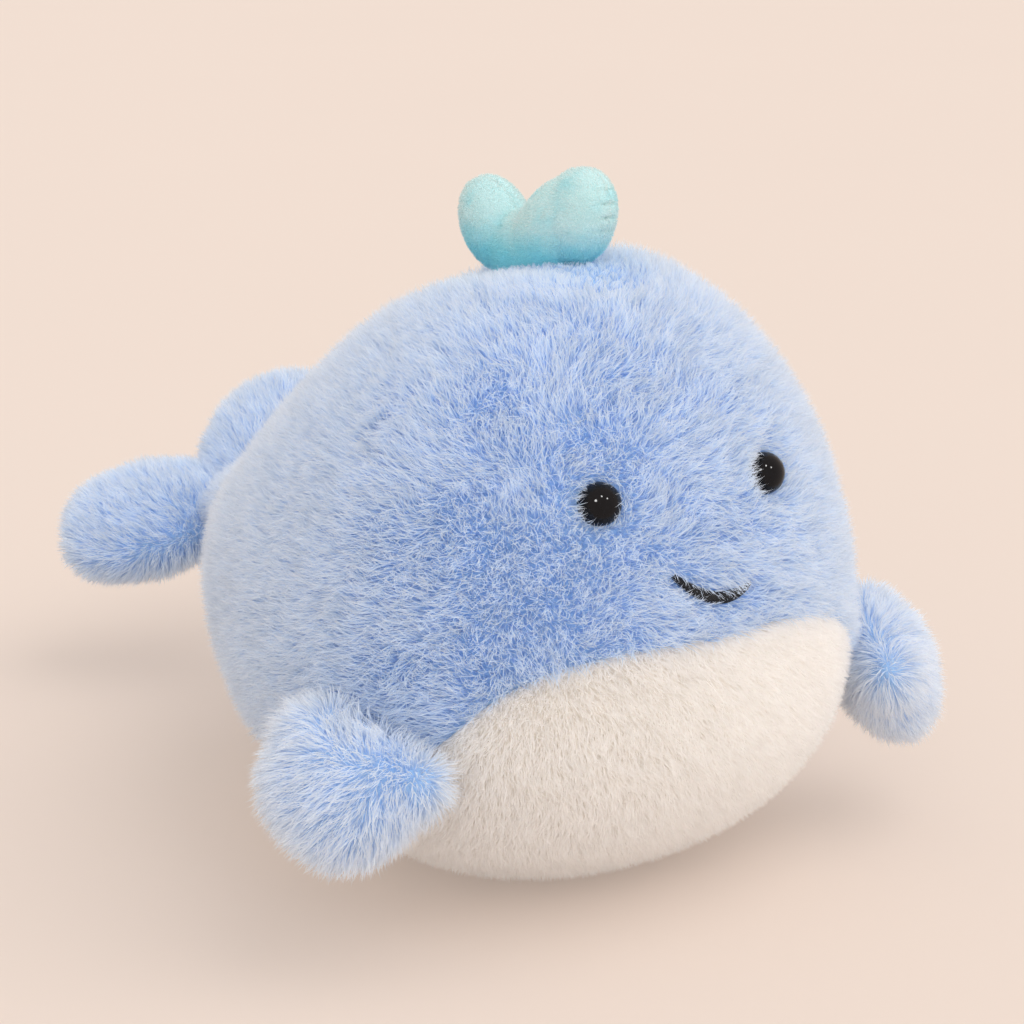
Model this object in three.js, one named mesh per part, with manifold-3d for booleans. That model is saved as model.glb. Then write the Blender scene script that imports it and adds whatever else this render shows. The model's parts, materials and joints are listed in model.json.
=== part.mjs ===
// Plush whale. An egg-shaped body of long-pile plush lies on its cream belly. It carries two
// flippers, a tail that ends in a pair of flukes, a heart-shaped spout, two domed eyes and an
// embroidered smile. Every limb is two plush panels sewn face to face round a stuffed core.
// Millimetres, +Z up, nose toward -Y, the whale's left side toward +X. The origin is the centre
// of the flat that the belly rests on. A plush panel's solid reaches to the tips of its pile.
import * as THREE from 'three';
import { mergeVertices } from 'three/addons/utils/BufferGeometryUtils.js';
import Module from 'manifold-3d';

const wasm = await Module();
wasm.setup();

// Cloth and fit
const backing = 1; // knitted back of the plush
const pile = 5; // long pile of the body
const limbPile = 3.5; // pile of the flippers, tail and flukes
const spoutPile = 1.2; // short velvety pile of the spout
const seamGap = 0.3; // space between two solids that touch
const overrun = 30; // how far a cutting solid runs past what it cuts

// Body
const noseLength = 52.2; // widest ring to the nose
const rumpLength = 112; // widest ring to the rump
const halfWidth = 68;
const crownHeight = 88.6; // widest line to the crown
const bellyDepth = 49.5; // widest line to the lowest line of the belly
const restCut = 0.5; // depth of the flat on the belly
const rumpRise = 16; // how much higher the rump lies than the widest line
const widestAhead = 22; // widest ring ahead of the origin
const crownDropShare = 0.87; // how much of the crown's height is lost toward the rump
const crownRoundShare = 1.92; // 2 is a true ellipse, less is more pointed
const bellyRoundShare = 2.15;
const stationShares = [0, 0.22, 0.36, 0.45, 0.54, 0.67, 0.8, 0.9, 1];
const bellyShares = [1, 1.04, 1.1, 1.11, 1.08, 0.94, 0.86, 0.86, 0.8];

// Belly seam in the side view: distance ahead of the widest ring, and height above the rest flat
const seamHeights = [
  [80, 64.4], [66, 64.4], [56, 64.2], [49, 63.6], [44, 61.2], [40, 57.6], [36, 52.9], [32, 47.2],
  [26.5, 41], [18, 35.5], [2, 31.4], [-20, 28.6], [-45, 28], [-70, 31], [-97, 40.5], [-140, 50],
];

// Eyes: safety eyes, a dome on a ribbed shank, held by a washer behind the cloth
const eyeDiameter = 9;
const eyeDome = 4.6;
const eyeRim = 0.5;
const eyeSunk = 4.7; // back of the dome below the tips of the pile
const eyeAheadShare = 0.789; // between the widest ring and the nose
const eyeAsideShare = 0.328; // from the middle, of the half width
const shankDiameter = 3;
const shankLength = 7;
const shankRibs = 4;
const shankRibDepth = 0.35;
const washerDiameter = 12;
const washerThickness = 1.1;
const washerCollar = 1.4; // raised collar round the washer's hole
const washerTeeth = 4; // spring teeth that the collar is slotted into
const washerSlot = 0.7;
const ribFree = 2; // shank without ribs, under the dome
const ribRiseShare = 0.7;

// Smile
const smileHalfWidth = 9;
const smileHeight = 72.2; // middle of the line above the rest flat
const smileSag = 2.8; // ends above the middle
const smileSkew = 1.8; // how much higher its right end is sewn, and how much lower its left end
const smileThread = 1.2; // width of the embroidered line
const smileTipThread = 0.5;
const smileSunk = 2.6; // face of the embroidery below the tips of the pile
const smileThick = 1;

// Flippers
const flipperAhead = 24;
const flipperHeight = 50;
const flipperProud = 3; // hinge line outside the tips of the pile
const flipperClear = 0.7; // paddle to body, lying against it or lifted
const flipperRootRadius = 6;
const flipperRootHalf = 13.5;
const flipperShoulder = 5; // how far the paddle swells back over the hinge line
const flipperLength = 34; // hinge line to tip
const flipperHalfWidth = 18.5;
const flipperHalfThick = 12;
const flipperHeading = 30; // degrees that the hinge line turns in toward the nose
const flipperTilt = 9; // degrees that the hinge line dips toward the nose
const flipperDroop = 60; // degrees below level at rest
const flipperSweep = 27; // degrees that the paddle is swept back in its own plane
const flipperLift = 60; // degrees that it can be lifted outward

// Tail
const tailHingeSunk = 6; // ahead of the rump's end
const tailHingeLow = 6; // below the rump's end
const tailRootRadius = 12.5;
const tailRootHalf = 21;
const tailStock = 46; // tail hinge to fluke hinge
const tailDrop = 12.5; // fluke hinge below the tail hinge
const tailTipHalfWidth = 13.5;
const tailTipHalfThick = 9.3;
const tailRim = 5; // rump's rim ahead of the tail hinge

// Flukes
const flukeRoll = 26; // degrees that the flukes are twisted, right lobe down
const flukePitch = 12; // degrees that their tips are raised
const flukeRootRadius = 8.4;
const flukeRootHalf = 13;
const flukeLength = 50; // hinge to the tip of a lobe
const flukeHalfWidth = 21;
const flukeHalfThick = 12;
const flukeSpread = 53; // degrees between a lobe and straight back
const flukeRim = 3; // tail's rim ahead of the fluke hinge
const flukeSwing = 28; // degrees that the flukes can flap up and down

// Spout
const spoutBehind = 13;
const spoutTurn = 15; // degrees that the heart is turned from fore and aft
const spoutProud = -0.5; // hinge line above the tips of the pile
const spoutRootRadius = 4.3;
const spoutRootHalf = 16;
const spoutSpread = 12.5; // lobe's centre from the middle
const frontLobeRise = 4; // lobe's centre above the hinge line
const rearLobeRise = 6;
const spoutLean = 20; // degrees that the lobes lean apart
const frontLobeRadius = 8.8;
const rearLobeRadius = 8.2;
const spoutLobeStretch = 3; // how much longer than wide a lobe is, from its centre
const spoutMiddleHeight = 5.5; // cleft of the heart above the hinge line
const spoutHalfThick = 7.8;
const spoutClear = 0.8; // the lobes start this far above the hinge line
const spoutTilt = 14; // degrees that their underside slopes up, so that the heart can tilt

// Forms of the limbs
const paddleBluntShare = 0.62; // power of the swell, less is blunter
const flipperRootShare = 0.85; // width at the root
const flukeRootShare = 0.7;
const paddleFullAtShare = 0.6; // where along a paddle it is widest
const stockBluntPower = 6;
const stockRootShare = 0.9; // thickness of the stock at the root's barrel

// Mesh density
const halvings = 40;
const bodyRings = 15;
const bodySides = 24;
const coreRings = 10;
const coreSides = 14;
const limbRings = 8;
const limbSides = 14;
const limbCoreRings = 5;
const limbCoreSides = 8;
const barrelRings = 4;
const barrelSides = 12;
const tailBarrelSides = 16;
const seamSteps = 2; // between two points of the belly seam
const roundSides = 16;
const domeSteps = 5;
const weldShare = 1e-4;
const probeShare = 1e-3;

const panelThickness = backing + pile;
const limbThickness = backing + limbPile;
const spoutThickness = backing + spoutPile;
const widestHeight = bellyDepth - restCut;
const tailHingeBehind = rumpLength - tailHingeSunk; // behind the widest ring
const tailHingeHeight = widestHeight + rumpRise - tailHingeLow;
const bodyReach = 2 * (rumpLength + crownHeight + overrun); // wider than the whole body

const plushBlue = new THREE.MeshStandardMaterial({ color: 0xa9c3ee, roughness: 0.95, metalness: 0 });
const plushCream = new THREE.MeshStandardMaterial({ color: 0xf6f0e6, roughness: 0.95, metalness: 0 });
const velvetAqua = new THREE.MeshStandardMaterial({ color: 0x8fd6da, roughness: 0.85, metalness: 0 });
const fibreWhite = new THREE.MeshStandardMaterial({ color: 0xfafafa, roughness: 1, metalness: 0 });
const glossBlack = new THREE.MeshStandardMaterial({ color: 0x08080a, roughness: 0.08, metalness: 0 });
const washerWhite = new THREE.MeshStandardMaterial({ color: 0xe9e9e6, roughness: 0.5, metalness: 0 });
const threadBlack = new THREE.MeshStandardMaterial({ color: 0x101014, roughness: 0.6, metalness: 0 });

// Turns a closed geometry into a solid that can be joined and cut
function toSolid(geometry) {
  const bare = geometry.clone();
  bare.deleteAttribute('normal');
  bare.deleteAttribute('uv');
  const merged = mergeVertices(bare, weldShare);
  const points = merged.attributes.position;
  const triangles = [];
  for (let i = 0; i < merged.index.count; i += 3) {
    const corner = [0, 1, 2].map((k) => merged.index.getX(i + k));
    if (new Set(corner).size === 3) triangles.push(...corner);
  }
  const corners = [0, 1, 2].map(() => new THREE.Vector3());
  let volume = 0;
  for (let i = 0; i < triangles.length; i += 3) {
    corners.forEach((corner, k) => corner.fromBufferAttribute(points, triangles[i + k]));
    volume += corners[0].dot(corners[1].cross(corners[2]));
  }
  if (volume < 0) triangles.reverse();
  return new wasm.Manifold(new wasm.Mesh({
    numProp: 3,
    vertProperties: new Float32Array(points.array),
    triVerts: new Uint32Array(triangles),
  }));
}

// Turns a solid back into a named mesh
function toMesh(name, solid, material) {
  const raw = solid.getMesh();
  const geometry = new THREE.BufferGeometry();
  geometry.setAttribute('position', new THREE.BufferAttribute(new Float32Array(raw.vertProperties), 3));
  geometry.setIndex(new THREE.BufferAttribute(new Uint32Array(raw.triVerts), 1));
  geometry.computeVertexNormals();
  const mesh = new THREE.Mesh(geometry, material);
  mesh.name = name;
  return mesh;
}

// Outward direction of a swelling surface at u (pole to pole) and v (once round). At a pole it is
// the mean of the directions on the four sides of it.
function outward(pointAt, u, v) {
  const near = Math.min(Math.max(u, probeShare), 1 - probeShare);
  const turns = near === u ? [v] : [v, v + 0.25, v + 0.5, v + 0.75];
  const sum = new THREE.Vector3();
  turns.forEach((turn) => {
    const middle = pointAt(near, turn).add(pointAt(near, turn + 0.5)).multiplyScalar(0.5);
    const along = pointAt(near + probeShare, turn).sub(pointAt(near - probeShare, turn));
    const round = pointAt(near, turn + probeShare).sub(pointAt(near, turn - probeShare));
    const normal = along.cross(round).normalize();
    const facing = normal.dot(pointAt(near, turn).sub(middle)) < 0 ? -1 : 1;
    sum.addScaledVector(normal, facing);
  });
  return sum.normalize();
}

// Closed surface through rings of points from one pole to the other
function swelling(pointAt, rings, sides) {
  const points = [pointAt(0, 0)];
  for (let i = 1; i < rings; i += 1) {
    for (let j = 0; j < sides; j += 1) points.push(pointAt(i / rings, j / sides));
  }
  points.push(pointAt(1, 0));
  const last = points.length - 1;
  const at = (i, j) => 1 + (i - 1) * sides + (j % sides);
  const triangles = [];
  for (let j = 0; j < sides; j += 1) {
    triangles.push(0, at(1, j), at(1, j + 1));
    for (let i = 1; i < rings - 1; i += 1) {
      triangles.push(at(i, j), at(i + 1, j), at(i + 1, j + 1));
      triangles.push(at(i, j), at(i + 1, j + 1), at(i, j + 1));
    }
    triangles.push(last, at(rings - 1, j + 1), at(rings - 1, j));
  }
  const geometry = new THREE.BufferGeometry().setFromPoints(points);
  geometry.setIndex(triangles);
  return geometry;
}

// Barrel turned about X, the root that a limb swings on
function barrel(radius, half, grow, sides = barrelSides) {
  const steps = barrelRings;
  const profile = [];
  for (let i = 0; i <= steps; i += 1) {
    const angle = (Math.PI * i) / steps;
    const round = Math.sqrt(Math.abs(Math.sin(angle)));
    profile.push(new THREE.Vector2((radius + grow) * round, -(half + grow) * Math.cos(angle)));
  }
  profile[0].x = 0;
  profile[steps].x = 0;
  const geometry = new THREE.LatheGeometry(profile, sides);
  geometry.rotateZ(-Math.PI / 2);
  return geometry;
}

function box(width, depth, height, x, y, z) {
  return new THREE.BoxGeometry(width, depth, height).translate(x, y, z);
}

function lay(geometry, matrix) {
  return geometry.clone().applyMatrix4(matrix);
}

// Body surface
const bellyLine = new THREE.CubicInterpolant(stationShares, bellyShares, 1);

function bodyPoint(u, v) {
  const angle = Math.PI * u;
  const along = Math.cos(angle);
  const behind = Math.min(along, 0);
  const drop = 1 - crownDropShare * behind * behind;
  const sag = bellyLine.evaluate(-behind)[0];
  const side = Math.sin(2 * Math.PI * v);
  const rise = Math.cos(2 * Math.PI * v);
  const power = rise > 0 ? crownRoundShare : bellyRoundShare;
  const fullness = (Math.abs(side) ** power + Math.abs(rise) ** power) ** (-1 / power);
  const height = rise > 0 ? crownHeight * drop : bellyDepth * sag;
  const swell = Math.sin(angle) * fullness;
  return new THREE.Vector3(
    halfWidth * swell * side,
    -widestAhead - (along > 0 ? noseLength : rumpLength) * along,
    widestHeight + height * swell * rise + rumpRise * behind * behind,
  );
}

// Station angle and section angle where the body's surface has this place and this height
function bodyAt(ahead, height, side) {
  const u = Math.acos(ahead / (ahead > 0 ? noseLength : rumpLength)) / Math.PI;
  let low = 0;
  let high = 0.5;
  for (let i = 0; i < halvings; i += 1) {
    const middle = (low + high) / 2;
    if (bodyPoint(u, middle).z > height) low = middle;
    else high = middle;
  }
  return { u, v: side * low };
}

// Station angle and section angle of an eye on this side
function eyeSeat(side) {
  const u = Math.acos(eyeAheadShare) / Math.PI;
  let low = 0;
  let high = 0.25;
  for (let i = 0; i < halvings; i += 1) {
    const middle = (low + high) / 2;
    if (bodyPoint(u, middle).x < halfWidth * eyeAsideShare) low = middle;
    else high = middle;
  }
  return { u, v: side * low };
}

// Frame on the body's surface: Z outward, Y as near upward as it goes
function bodyFrame({ u, v }, depth) {
  const normal = outward(bodyPoint, u, v);
  const place = bodyPoint(u, v).addScaledVector(normal, -depth);
  const right = new THREE.Vector3(0, 0, 1).cross(normal).normalize();
  const up = normal.clone().cross(right);
  return new THREE.Matrix4().makeBasis(right, up, normal).setPosition(place);
}

// The body's surface drawn in by an inset
function bodySurface(inset) {
  return (u, v) => bodyPoint(u, v).addScaledVector(outward(bodyPoint, u, v), -inset);
}

function bodySolid(inset, rings, sides) {
  const ground = toSolid(box(bodyReach, bodyReach, 2 * overrun, 0, 0, inset - overrun));
  return toSolid(swelling(bodySurface(inset), rings, sides)).subtract(ground);
}

// Tail root's place, and the rump cut to a cup that it turns in
const tailPlace = new THREE.Matrix4().makeTranslation(0, tailHingeBehind - widestAhead, tailHingeHeight);

function tailBarrel(grow) {
  return barrel(tailRootRadius, tailRootHalf, grow, tailBarrelSides);
}

function cupRump(solid, wall) {
  const cup = toSolid(lay(tailBarrel(seamGap + wall), tailPlace));
  const size = 2 * halfWidth;
  const rimY = tailHingeBehind - widestAhead - tailRim - wall;
  const behind = toSolid(box(size, size, 2 * size, 0, rimY + size / 2, tailHingeHeight));
  return solid.subtract(cup).subtract(behind);
}

// Belly cutter: everything below the seam line in the side view
function belowSeam(offset) {
  const curve = new THREE.SplineCurve(seamHeights.map(([ahead, z]) => new THREE.Vector2(-widestAhead - ahead, z)));
  const steps = seamSteps * (seamHeights.length - 1);
  const line = [];
  for (let i = 0; i <= steps; i += 1) {
    const tangent = curve.getTangent(i / steps);
    line.push(curve.getPoint(i / steps).add(new THREE.Vector2(-tangent.y, tangent.x).multiplyScalar(offset)));
  }
  const outline = new THREE.Shape(line);
  outline.lineTo(line[steps].x, -overrun);
  outline.lineTo(line[0].x, -overrun);
  const width = 2 * (halfWidth + overrun);
  const slab = new THREE.ExtrudeGeometry(outline, { depth: width, bevelEnabled: false });
  const turn = new THREE.Matrix4().makeBasis(
    new THREE.Vector3(0, 1, 0),
    new THREE.Vector3(0, 0, 1),
    new THREE.Vector3(1, 0, 0),
  );
  return toSolid(slab.applyMatrix4(turn).translate(-width / 2, 0, 0));
}

// Limbs. Each is drawn on its hinge: X runs along the hinge, Y along the limb, Z out of its face.
// A paddle swells from a narrow root to a round tip, and an inset draws it in on every side.
function paddlePoint({ start, length, halfWidth: broad, halfThick, rootShare, lean }, inset) {
  const tilt = THREE.MathUtils.degToRad(lean);
  return (u, v) => {
    const angle = Math.PI * u;
    const along = THREE.MathUtils.lerp(start + inset, length - inset, (1 - Math.cos(angle)) / 2);
    const opening = Math.sin((Math.PI / 2) * Math.min(u / paddleFullAtShare, 1));
    const swell = Math.max(Math.sin(angle), 0) ** paddleBluntShare * (rootShare + (1 - rootShare) * opening);
    const across = (broad - inset) * swell * Math.sin(2 * Math.PI * v);
    return new THREE.Vector3(
      across * Math.cos(tilt) + along * Math.sin(tilt),
      along * Math.cos(tilt) - across * Math.sin(tilt),
      (halfThick - inset) * swell * Math.cos(2 * Math.PI * v),
    );
  };
}

// The two sewn panels of a limb's shell and the stuffing inside them
function limbMeshes(names, outer, inner, core, material) {
  const size = 4 * overrun;
  const front = toSolid(box(2 * size, 2 * size, size, 0, 0, (size + seamGap) / 2));
  const back = toSolid(box(2 * size, 2 * size, size, 0, 0, -(size + seamGap) / 2));
  const shell = outer.subtract(inner);
  return [
    toMesh(names[0], shell.intersect(front), material),
    toMesh(names[1], shell.intersect(back), material),
    toMesh(names[2], core, fibreWhite),
  ];
}

function hang(place, meshes) {
  const group = new THREE.Group();
  group.applyMatrix4(place);
  group.add(...meshes);
  return group;
}

// Flippers: a rounded paddle on each side, hinged where it is sewn to the body
function flipperPlace(side) {
  const heading = THREE.MathUtils.degToRad(flipperHeading);
  const tilt = THREE.MathUtils.degToRad(flipperTilt);
  const droop = THREE.MathUtils.degToRad(flipperDroop);
  const ahead = new THREE.Vector3(
    -side * Math.cos(tilt) * Math.sin(heading),
    -Math.cos(tilt) * Math.cos(heading),
    -Math.sin(tilt),
  );
  const out = new THREE.Vector3(side * Math.cos(heading), -Math.sin(heading), 0);
  const down = out.clone().cross(ahead).multiplyScalar(side).normalize();
  if (down.z > 0) down.negate();
  const along = out.clone().multiplyScalar(Math.cos(droop)).addScaledVector(down, Math.sin(droop));
  const face = out.clone().multiplyScalar(Math.sin(droop)).addScaledVector(down, -Math.cos(droop));
  const seat = bodyAt(flipperAhead, flipperHeight, side);
  const normal = outward(bodyPoint, seat.u, seat.v);
  const place = bodyPoint(seat.u, seat.v).addScaledVector(normal, flipperProud);
  return new THREE.Matrix4().makeBasis(along.clone().cross(face), along, face).setPosition(place);
}

function flipperBarrel(grow) {
  return barrel(flipperRootRadius, flipperRootHalf, grow);
}

function buildFlipper(side, label) {
  const place = flipperPlace(side);
  const shape = {
    start: -flipperShoulder,
    length: flipperLength,
    halfWidth: flipperHalfWidth,
    halfThick: flipperHalfThick,
    rootShare: flipperRootShare,
    lean: -side * flipperSweep,
  };
  const part = (rings, sides, inset) => {
    const body = lay(swelling(bodySurface(-flipperClear - inset), bodyRings, bodySides), place.clone().invert());
    const lifted = lay(body, new THREE.Matrix4().makeRotationX(-THREE.MathUtils.degToRad(flipperLift)));
    const paddle = toSolid(swelling(paddlePoint(shape, inset), rings, sides));
    return paddle.subtract(toSolid(body)).subtract(toSolid(lifted));
  };
  const outer = part(limbRings, limbSides, 0).add(toSolid(flipperBarrel(0)));
  const inner = part(limbCoreRings, limbCoreSides, limbThickness);
  const core = part(limbCoreRings, limbCoreSides, limbThickness + seamGap);
  const names = ['outer_panel', 'inner_panel', 'filling'].map((piece) => `${label}_flipper_${piece}`);
  return hang(place, limbMeshes(names, outer, inner, core, plushBlue));
}

// Tail: a flattened stock that swings in the cupped rump
function stockPoint(inset) {
  const start = inset - tailRootRadius / 2;
  const end = tailStock + tailTipHalfThick - inset;
  return (u, v) => {
    const share = (1 - Math.cos(Math.PI * u)) / 2;
    const blunt = (1 - Math.abs(2 * share - 1) ** stockBluntPower) ** (1 / stockBluntPower);
    const along = THREE.MathUtils.lerp(start, end, share);
    const reach = Math.max(along, 0) / tailStock;
    const across = THREE.MathUtils.lerp(tailRootHalf * stockRootShare, tailTipHalfWidth, reach) - inset;
    const thick = THREE.MathUtils.lerp(tailRootRadius * stockRootShare, tailTipHalfThick, reach) - inset;
    const x = across * blunt * Math.sin(2 * Math.PI * v);
    const z = thick * blunt * Math.cos(2 * Math.PI * v);
    const point = new THREE.Vector3(x, 0, z);
    point.applyAxisAngle(new THREE.Vector3(0, 1, 0), -THREE.MathUtils.degToRad(flukeRoll) * reach);
    return point.add(new THREE.Vector3(0, along, -tailDrop * reach * reach));
  };
}

const flukePlace = new THREE.Matrix4()
  .makeRotationX(THREE.MathUtils.degToRad(flukePitch))
  .multiply(new THREE.Matrix4().makeRotationY(-THREE.MathUtils.degToRad(flukeRoll)))
  .setPosition(0, tailStock, -tailDrop);

function flukeBarrel(grow) {
  return barrel(flukeRootRadius, flukeRootHalf, grow);
}

function buildTail() {
  const part = (rings, sides, inset) => {
    const root = toSolid(tailBarrel(-inset));
    const cup = toSolid(lay(flukeBarrel(seamGap + inset), flukePlace));
    const size = 4 * overrun;
    const beyond = toSolid(lay(box(size, size, size, 0, size / 2 - flukeRim - inset, 0), flukePlace));
    return toSolid(swelling(stockPoint(inset), rings, sides)).add(root).subtract(cup).subtract(beyond);
  };
  const names = ['tail_upper_panel', 'tail_lower_panel', 'tail_filling'];
  const outer = part(limbRings, limbSides, 0);
  const inner = part(limbCoreRings, limbCoreSides, limbThickness);
  const core = part(limbCoreRings, limbCoreSides, limbThickness + seamGap);
  return limbMeshes(names, outer, inner, core, plushBlue);
}

// Flukes: two lobes cut as one shape, hinged at the narrow end of the tail
function buildFlukes() {
  const size = 4 * overrun;
  const part = (rings, sides, inset) => {
    const lobes = [-1, 1].map((side) => {
      const shape = {
        start: 0,
        length: flukeLength,
        halfWidth: flukeHalfWidth,
        halfThick: flukeHalfThick,
        rootShare: flukeRootShare,
        lean: side * flukeSpread,
      };
      return toSolid(swelling(paddlePoint(shape, inset), rings, sides));
    });
    let pair = lobes[0].add(lobes[1]);
    [-1, 1].forEach((side) => {
      const ahead = box(size, size, size, 0, -size / 2 - flukeRim + seamGap + inset, 0);
      pair = pair.subtract(toSolid(ahead.rotateX(side * THREE.MathUtils.degToRad(flukeSwing))));
    });
    return pair.add(toSolid(flukeBarrel(-inset)));
  };
  const names = ['fluke_upper_panel', 'fluke_lower_panel', 'fluke_filling'];
  const outer = part(limbRings, limbSides, 0);
  const inner = part(limbCoreRings, limbCoreSides, limbThickness);
  const core = part(limbCoreRings, limbCoreSides, limbThickness + seamGap);
  return limbMeshes(names, outer, inner, core, plushBlue);
}

// Spout: a plump heart on the crown, turned nearly fore and aft
function spoutPlace() {
  const turn = THREE.MathUtils.degToRad(spoutTurn);
  const u = Math.acos(-spoutBehind / rumpLength) / Math.PI;
  const up = outward(bodyPoint, u, 0);
  const aside = new THREE.Vector3(Math.sin(turn), -Math.cos(turn), 0).cross(up).normalize();
  const seat = bodyPoint(u, 0).addScaledVector(up, spoutProud);
  return new THREE.Matrix4().makeBasis(up.clone().cross(aside), up, aside).setPosition(seat);
}

function spoutBarrel(grow) {
  return barrel(spoutRootRadius, spoutRootHalf, grow);
}

function buildSpout() {
  const lobe = (radius, rise, side, sides, inset) => {
    const ball = new THREE.SphereGeometry(1, sides, sides / 2);
    ball.scale(radius - inset, radius + spoutLobeStretch - inset, spoutHalfThick - inset);
    ball.rotateZ(-side * THREE.MathUtils.degToRad(spoutLean));
    return toSolid(ball.translate(side * spoutSpread, rise, 0));
  };
  const size = 4 * overrun;
  const part = (sides, inset) => {
    const middle = new THREE.SphereGeometry(1, sides, sides / 2);
    middle.scale(spoutSpread, spoutMiddleHeight - inset, spoutHalfThick - inset);
    let heart = toSolid(middle);
    heart = heart.add(lobe(frontLobeRadius, frontLobeRise, 1, sides, inset));
    heart = heart.add(lobe(rearLobeRadius, rearLobeRise, -1, sides, inset));
    [-1, 1].forEach((side) => {
      const under = box(size, size, size, 0, -size / 2, 0);
      under.rotateX(side * THREE.MathUtils.degToRad(spoutTilt));
      heart = heart.subtract(toSolid(under.translate(0, spoutClear + inset, 0)));
    });
    const neck = spoutRootRadius - spoutThickness;
    [-1, 1].forEach((side) => {
      const throat = new THREE.CylinderGeometry(neck, neck, frontLobeRise, limbCoreSides);
      if (inset > 0) heart = heart.add(toSolid(throat.translate(side * spoutSpread, frontLobeRise / 2, 0)));
    });
    return heart.add(toSolid(spoutBarrel(-inset)));
  };
  const names = ['spout_left_panel', 'spout_right_panel', 'spout_filling'];
  const outer = part(limbSides, 0);
  const inner = part(limbCoreSides, spoutThickness);
  const core = part(limbCoreSides, spoutThickness + seamGap);
  return limbMeshes(names, outer, inner, core, velvetAqua);
}

// Safety eye: a glossy dome with a ribbed shank through the cloth. Z is outward from its back.
function eyeGeometry() {
  const radius = eyeDiameter / 2;
  const shank = shankDiameter / 2;
  const profile = [new THREE.Vector2(0, -shankLength), new THREE.Vector2(shank - shankRibDepth, -shankLength)];
  const pitch = (shankLength - ribFree) / shankRibs;
  for (let i = 0; i < shankRibs; i += 1) {
    const foot = -shankLength + i * pitch;
    profile.push(new THREE.Vector2(shank, foot + pitch * ribRiseShare));
    profile.push(new THREE.Vector2(shank - shankRibDepth, foot + pitch * ribRiseShare));
    profile.push(new THREE.Vector2(shank - shankRibDepth, foot + pitch));
  }
  profile.push(new THREE.Vector2(shank - shankRibDepth, 0), new THREE.Vector2(radius, 0));
  for (let i = 0; i <= domeSteps; i += 1) {
    const angle = ((Math.PI / 2) * i) / domeSteps;
    profile.push(new THREE.Vector2(radius * Math.cos(angle), eyeRim + (eyeDome - eyeRim) * Math.sin(angle)));
  }
  profile[profile.length - 1].x = 0;
  return new THREE.LatheGeometry(profile, roundSides).rotateX(Math.PI / 2);
}

function plug(radius, low, high) {
  return new THREE.CylinderGeometry(radius, radius, high - low, roundSides)
    .rotateX(Math.PI / 2)
    .translate(0, 0, (low + high) / 2);
}

const clothUnderEye = panelThickness - eyeSunk;
const washerTop = -clothUnderEye - seamGap;

function washerSolid(place) {
  const hole = shankDiameter / 2 + seamGap;
  const low = washerTop - washerThickness;
  const collar = hole + washerThickness;
  const profile = [
    new THREE.Vector2(hole, washerTop),
    new THREE.Vector2(hole, low - washerCollar),
    new THREE.Vector2(collar, low - washerCollar),
    new THREE.Vector2(collar, low),
    new THREE.Vector2(washerDiameter / 2, low),
    new THREE.Vector2(washerDiameter / 2, washerTop),
    new THREE.Vector2(hole, washerTop),
  ];
  const ring = new THREE.LatheGeometry(profile, roundSides).rotateX(Math.PI / 2);
  let solid = toSolid(lay(ring, place));
  for (let i = 0; i < washerTeeth / 2; i += 1) {
    const slot = box(2 * washerDiameter, washerSlot, 2 * washerCollar, 0, 0, low - washerCollar - seamGap);
    slot.rotateZ((2 * Math.PI * i) / washerTeeth);
    solid = solid.subtract(toSolid(lay(slot, place)));
  }
  return solid;
}

// Place on the front of the body that is seen at this width and height
function faceAt(x, height) {
  let low = 0;
  let high = noseLength;
  for (let i = 0; i < halvings; i += 1) {
    const middle = (low + high) / 2;
    const seat = bodyAt(middle, height, 1);
    if (bodyPoint(seat.u, seat.v).x > Math.abs(x)) low = middle;
    else high = middle;
  }
  return bodyAt(low, height, Math.sign(x) || 1);
}

// Smile: a raised line of satin stitch that follows the face and presses the pile down
function smileRibbon(grow, low, high) {
  const steps = 2 * limbCoreRings;
  const stretch = 1 + grow / smileHalfWidth;
  const sections = [];
  for (let i = 0; i <= steps; i += 1) {
    const share = stretch * ((2 * i) / steps - 1);
    const height = smileHeight + smileSag * share * share - smileSkew * share;
    const seat = faceAt(smileHalfWidth * share, height);
    sections.push({ share, seat: bodyPoint(seat.u, seat.v), normal: outward(bodyPoint, seat.u, seat.v) });
  }
  const points = [];
  sections.forEach(({ share, seat, normal }, i) => {
    const before = sections[Math.max(i - 1, 0)].seat;
    const after = sections[Math.min(i + 1, steps)].seat;
    const across = normal.clone().cross(after.clone().sub(before)).normalize();
    const half = THREE.MathUtils.lerp(smileThread, smileTipThread, Math.min(share * share, 1)) / 2 + grow;
    const corners = [[-half, low], [half, low], [half, high], [-half, high]];
    corners.forEach(([aside, out]) => {
      points.push(seat.clone().addScaledVector(across, aside).addScaledVector(normal, out));
    });
  });
  const triangles = [0, 1, 2, 0, 2, 3];
  for (let i = 0; i < steps; i += 1) {
    for (let k = 0; k < 4; k += 1) {
      const here = 4 * i + k;
      const next = 4 * i + ((k + 1) % 4);
      triangles.push(here, here + 4, next, next, here + 4, next + 4);
    }
  }
  const end = 4 * steps;
  triangles.push(end, end + 2, end + 1, end, end + 3, end + 2);
  const geometry = new THREE.BufferGeometry().setFromPoints(points);
  geometry.setIndex(triangles);
  return toSolid(geometry);
}

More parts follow.
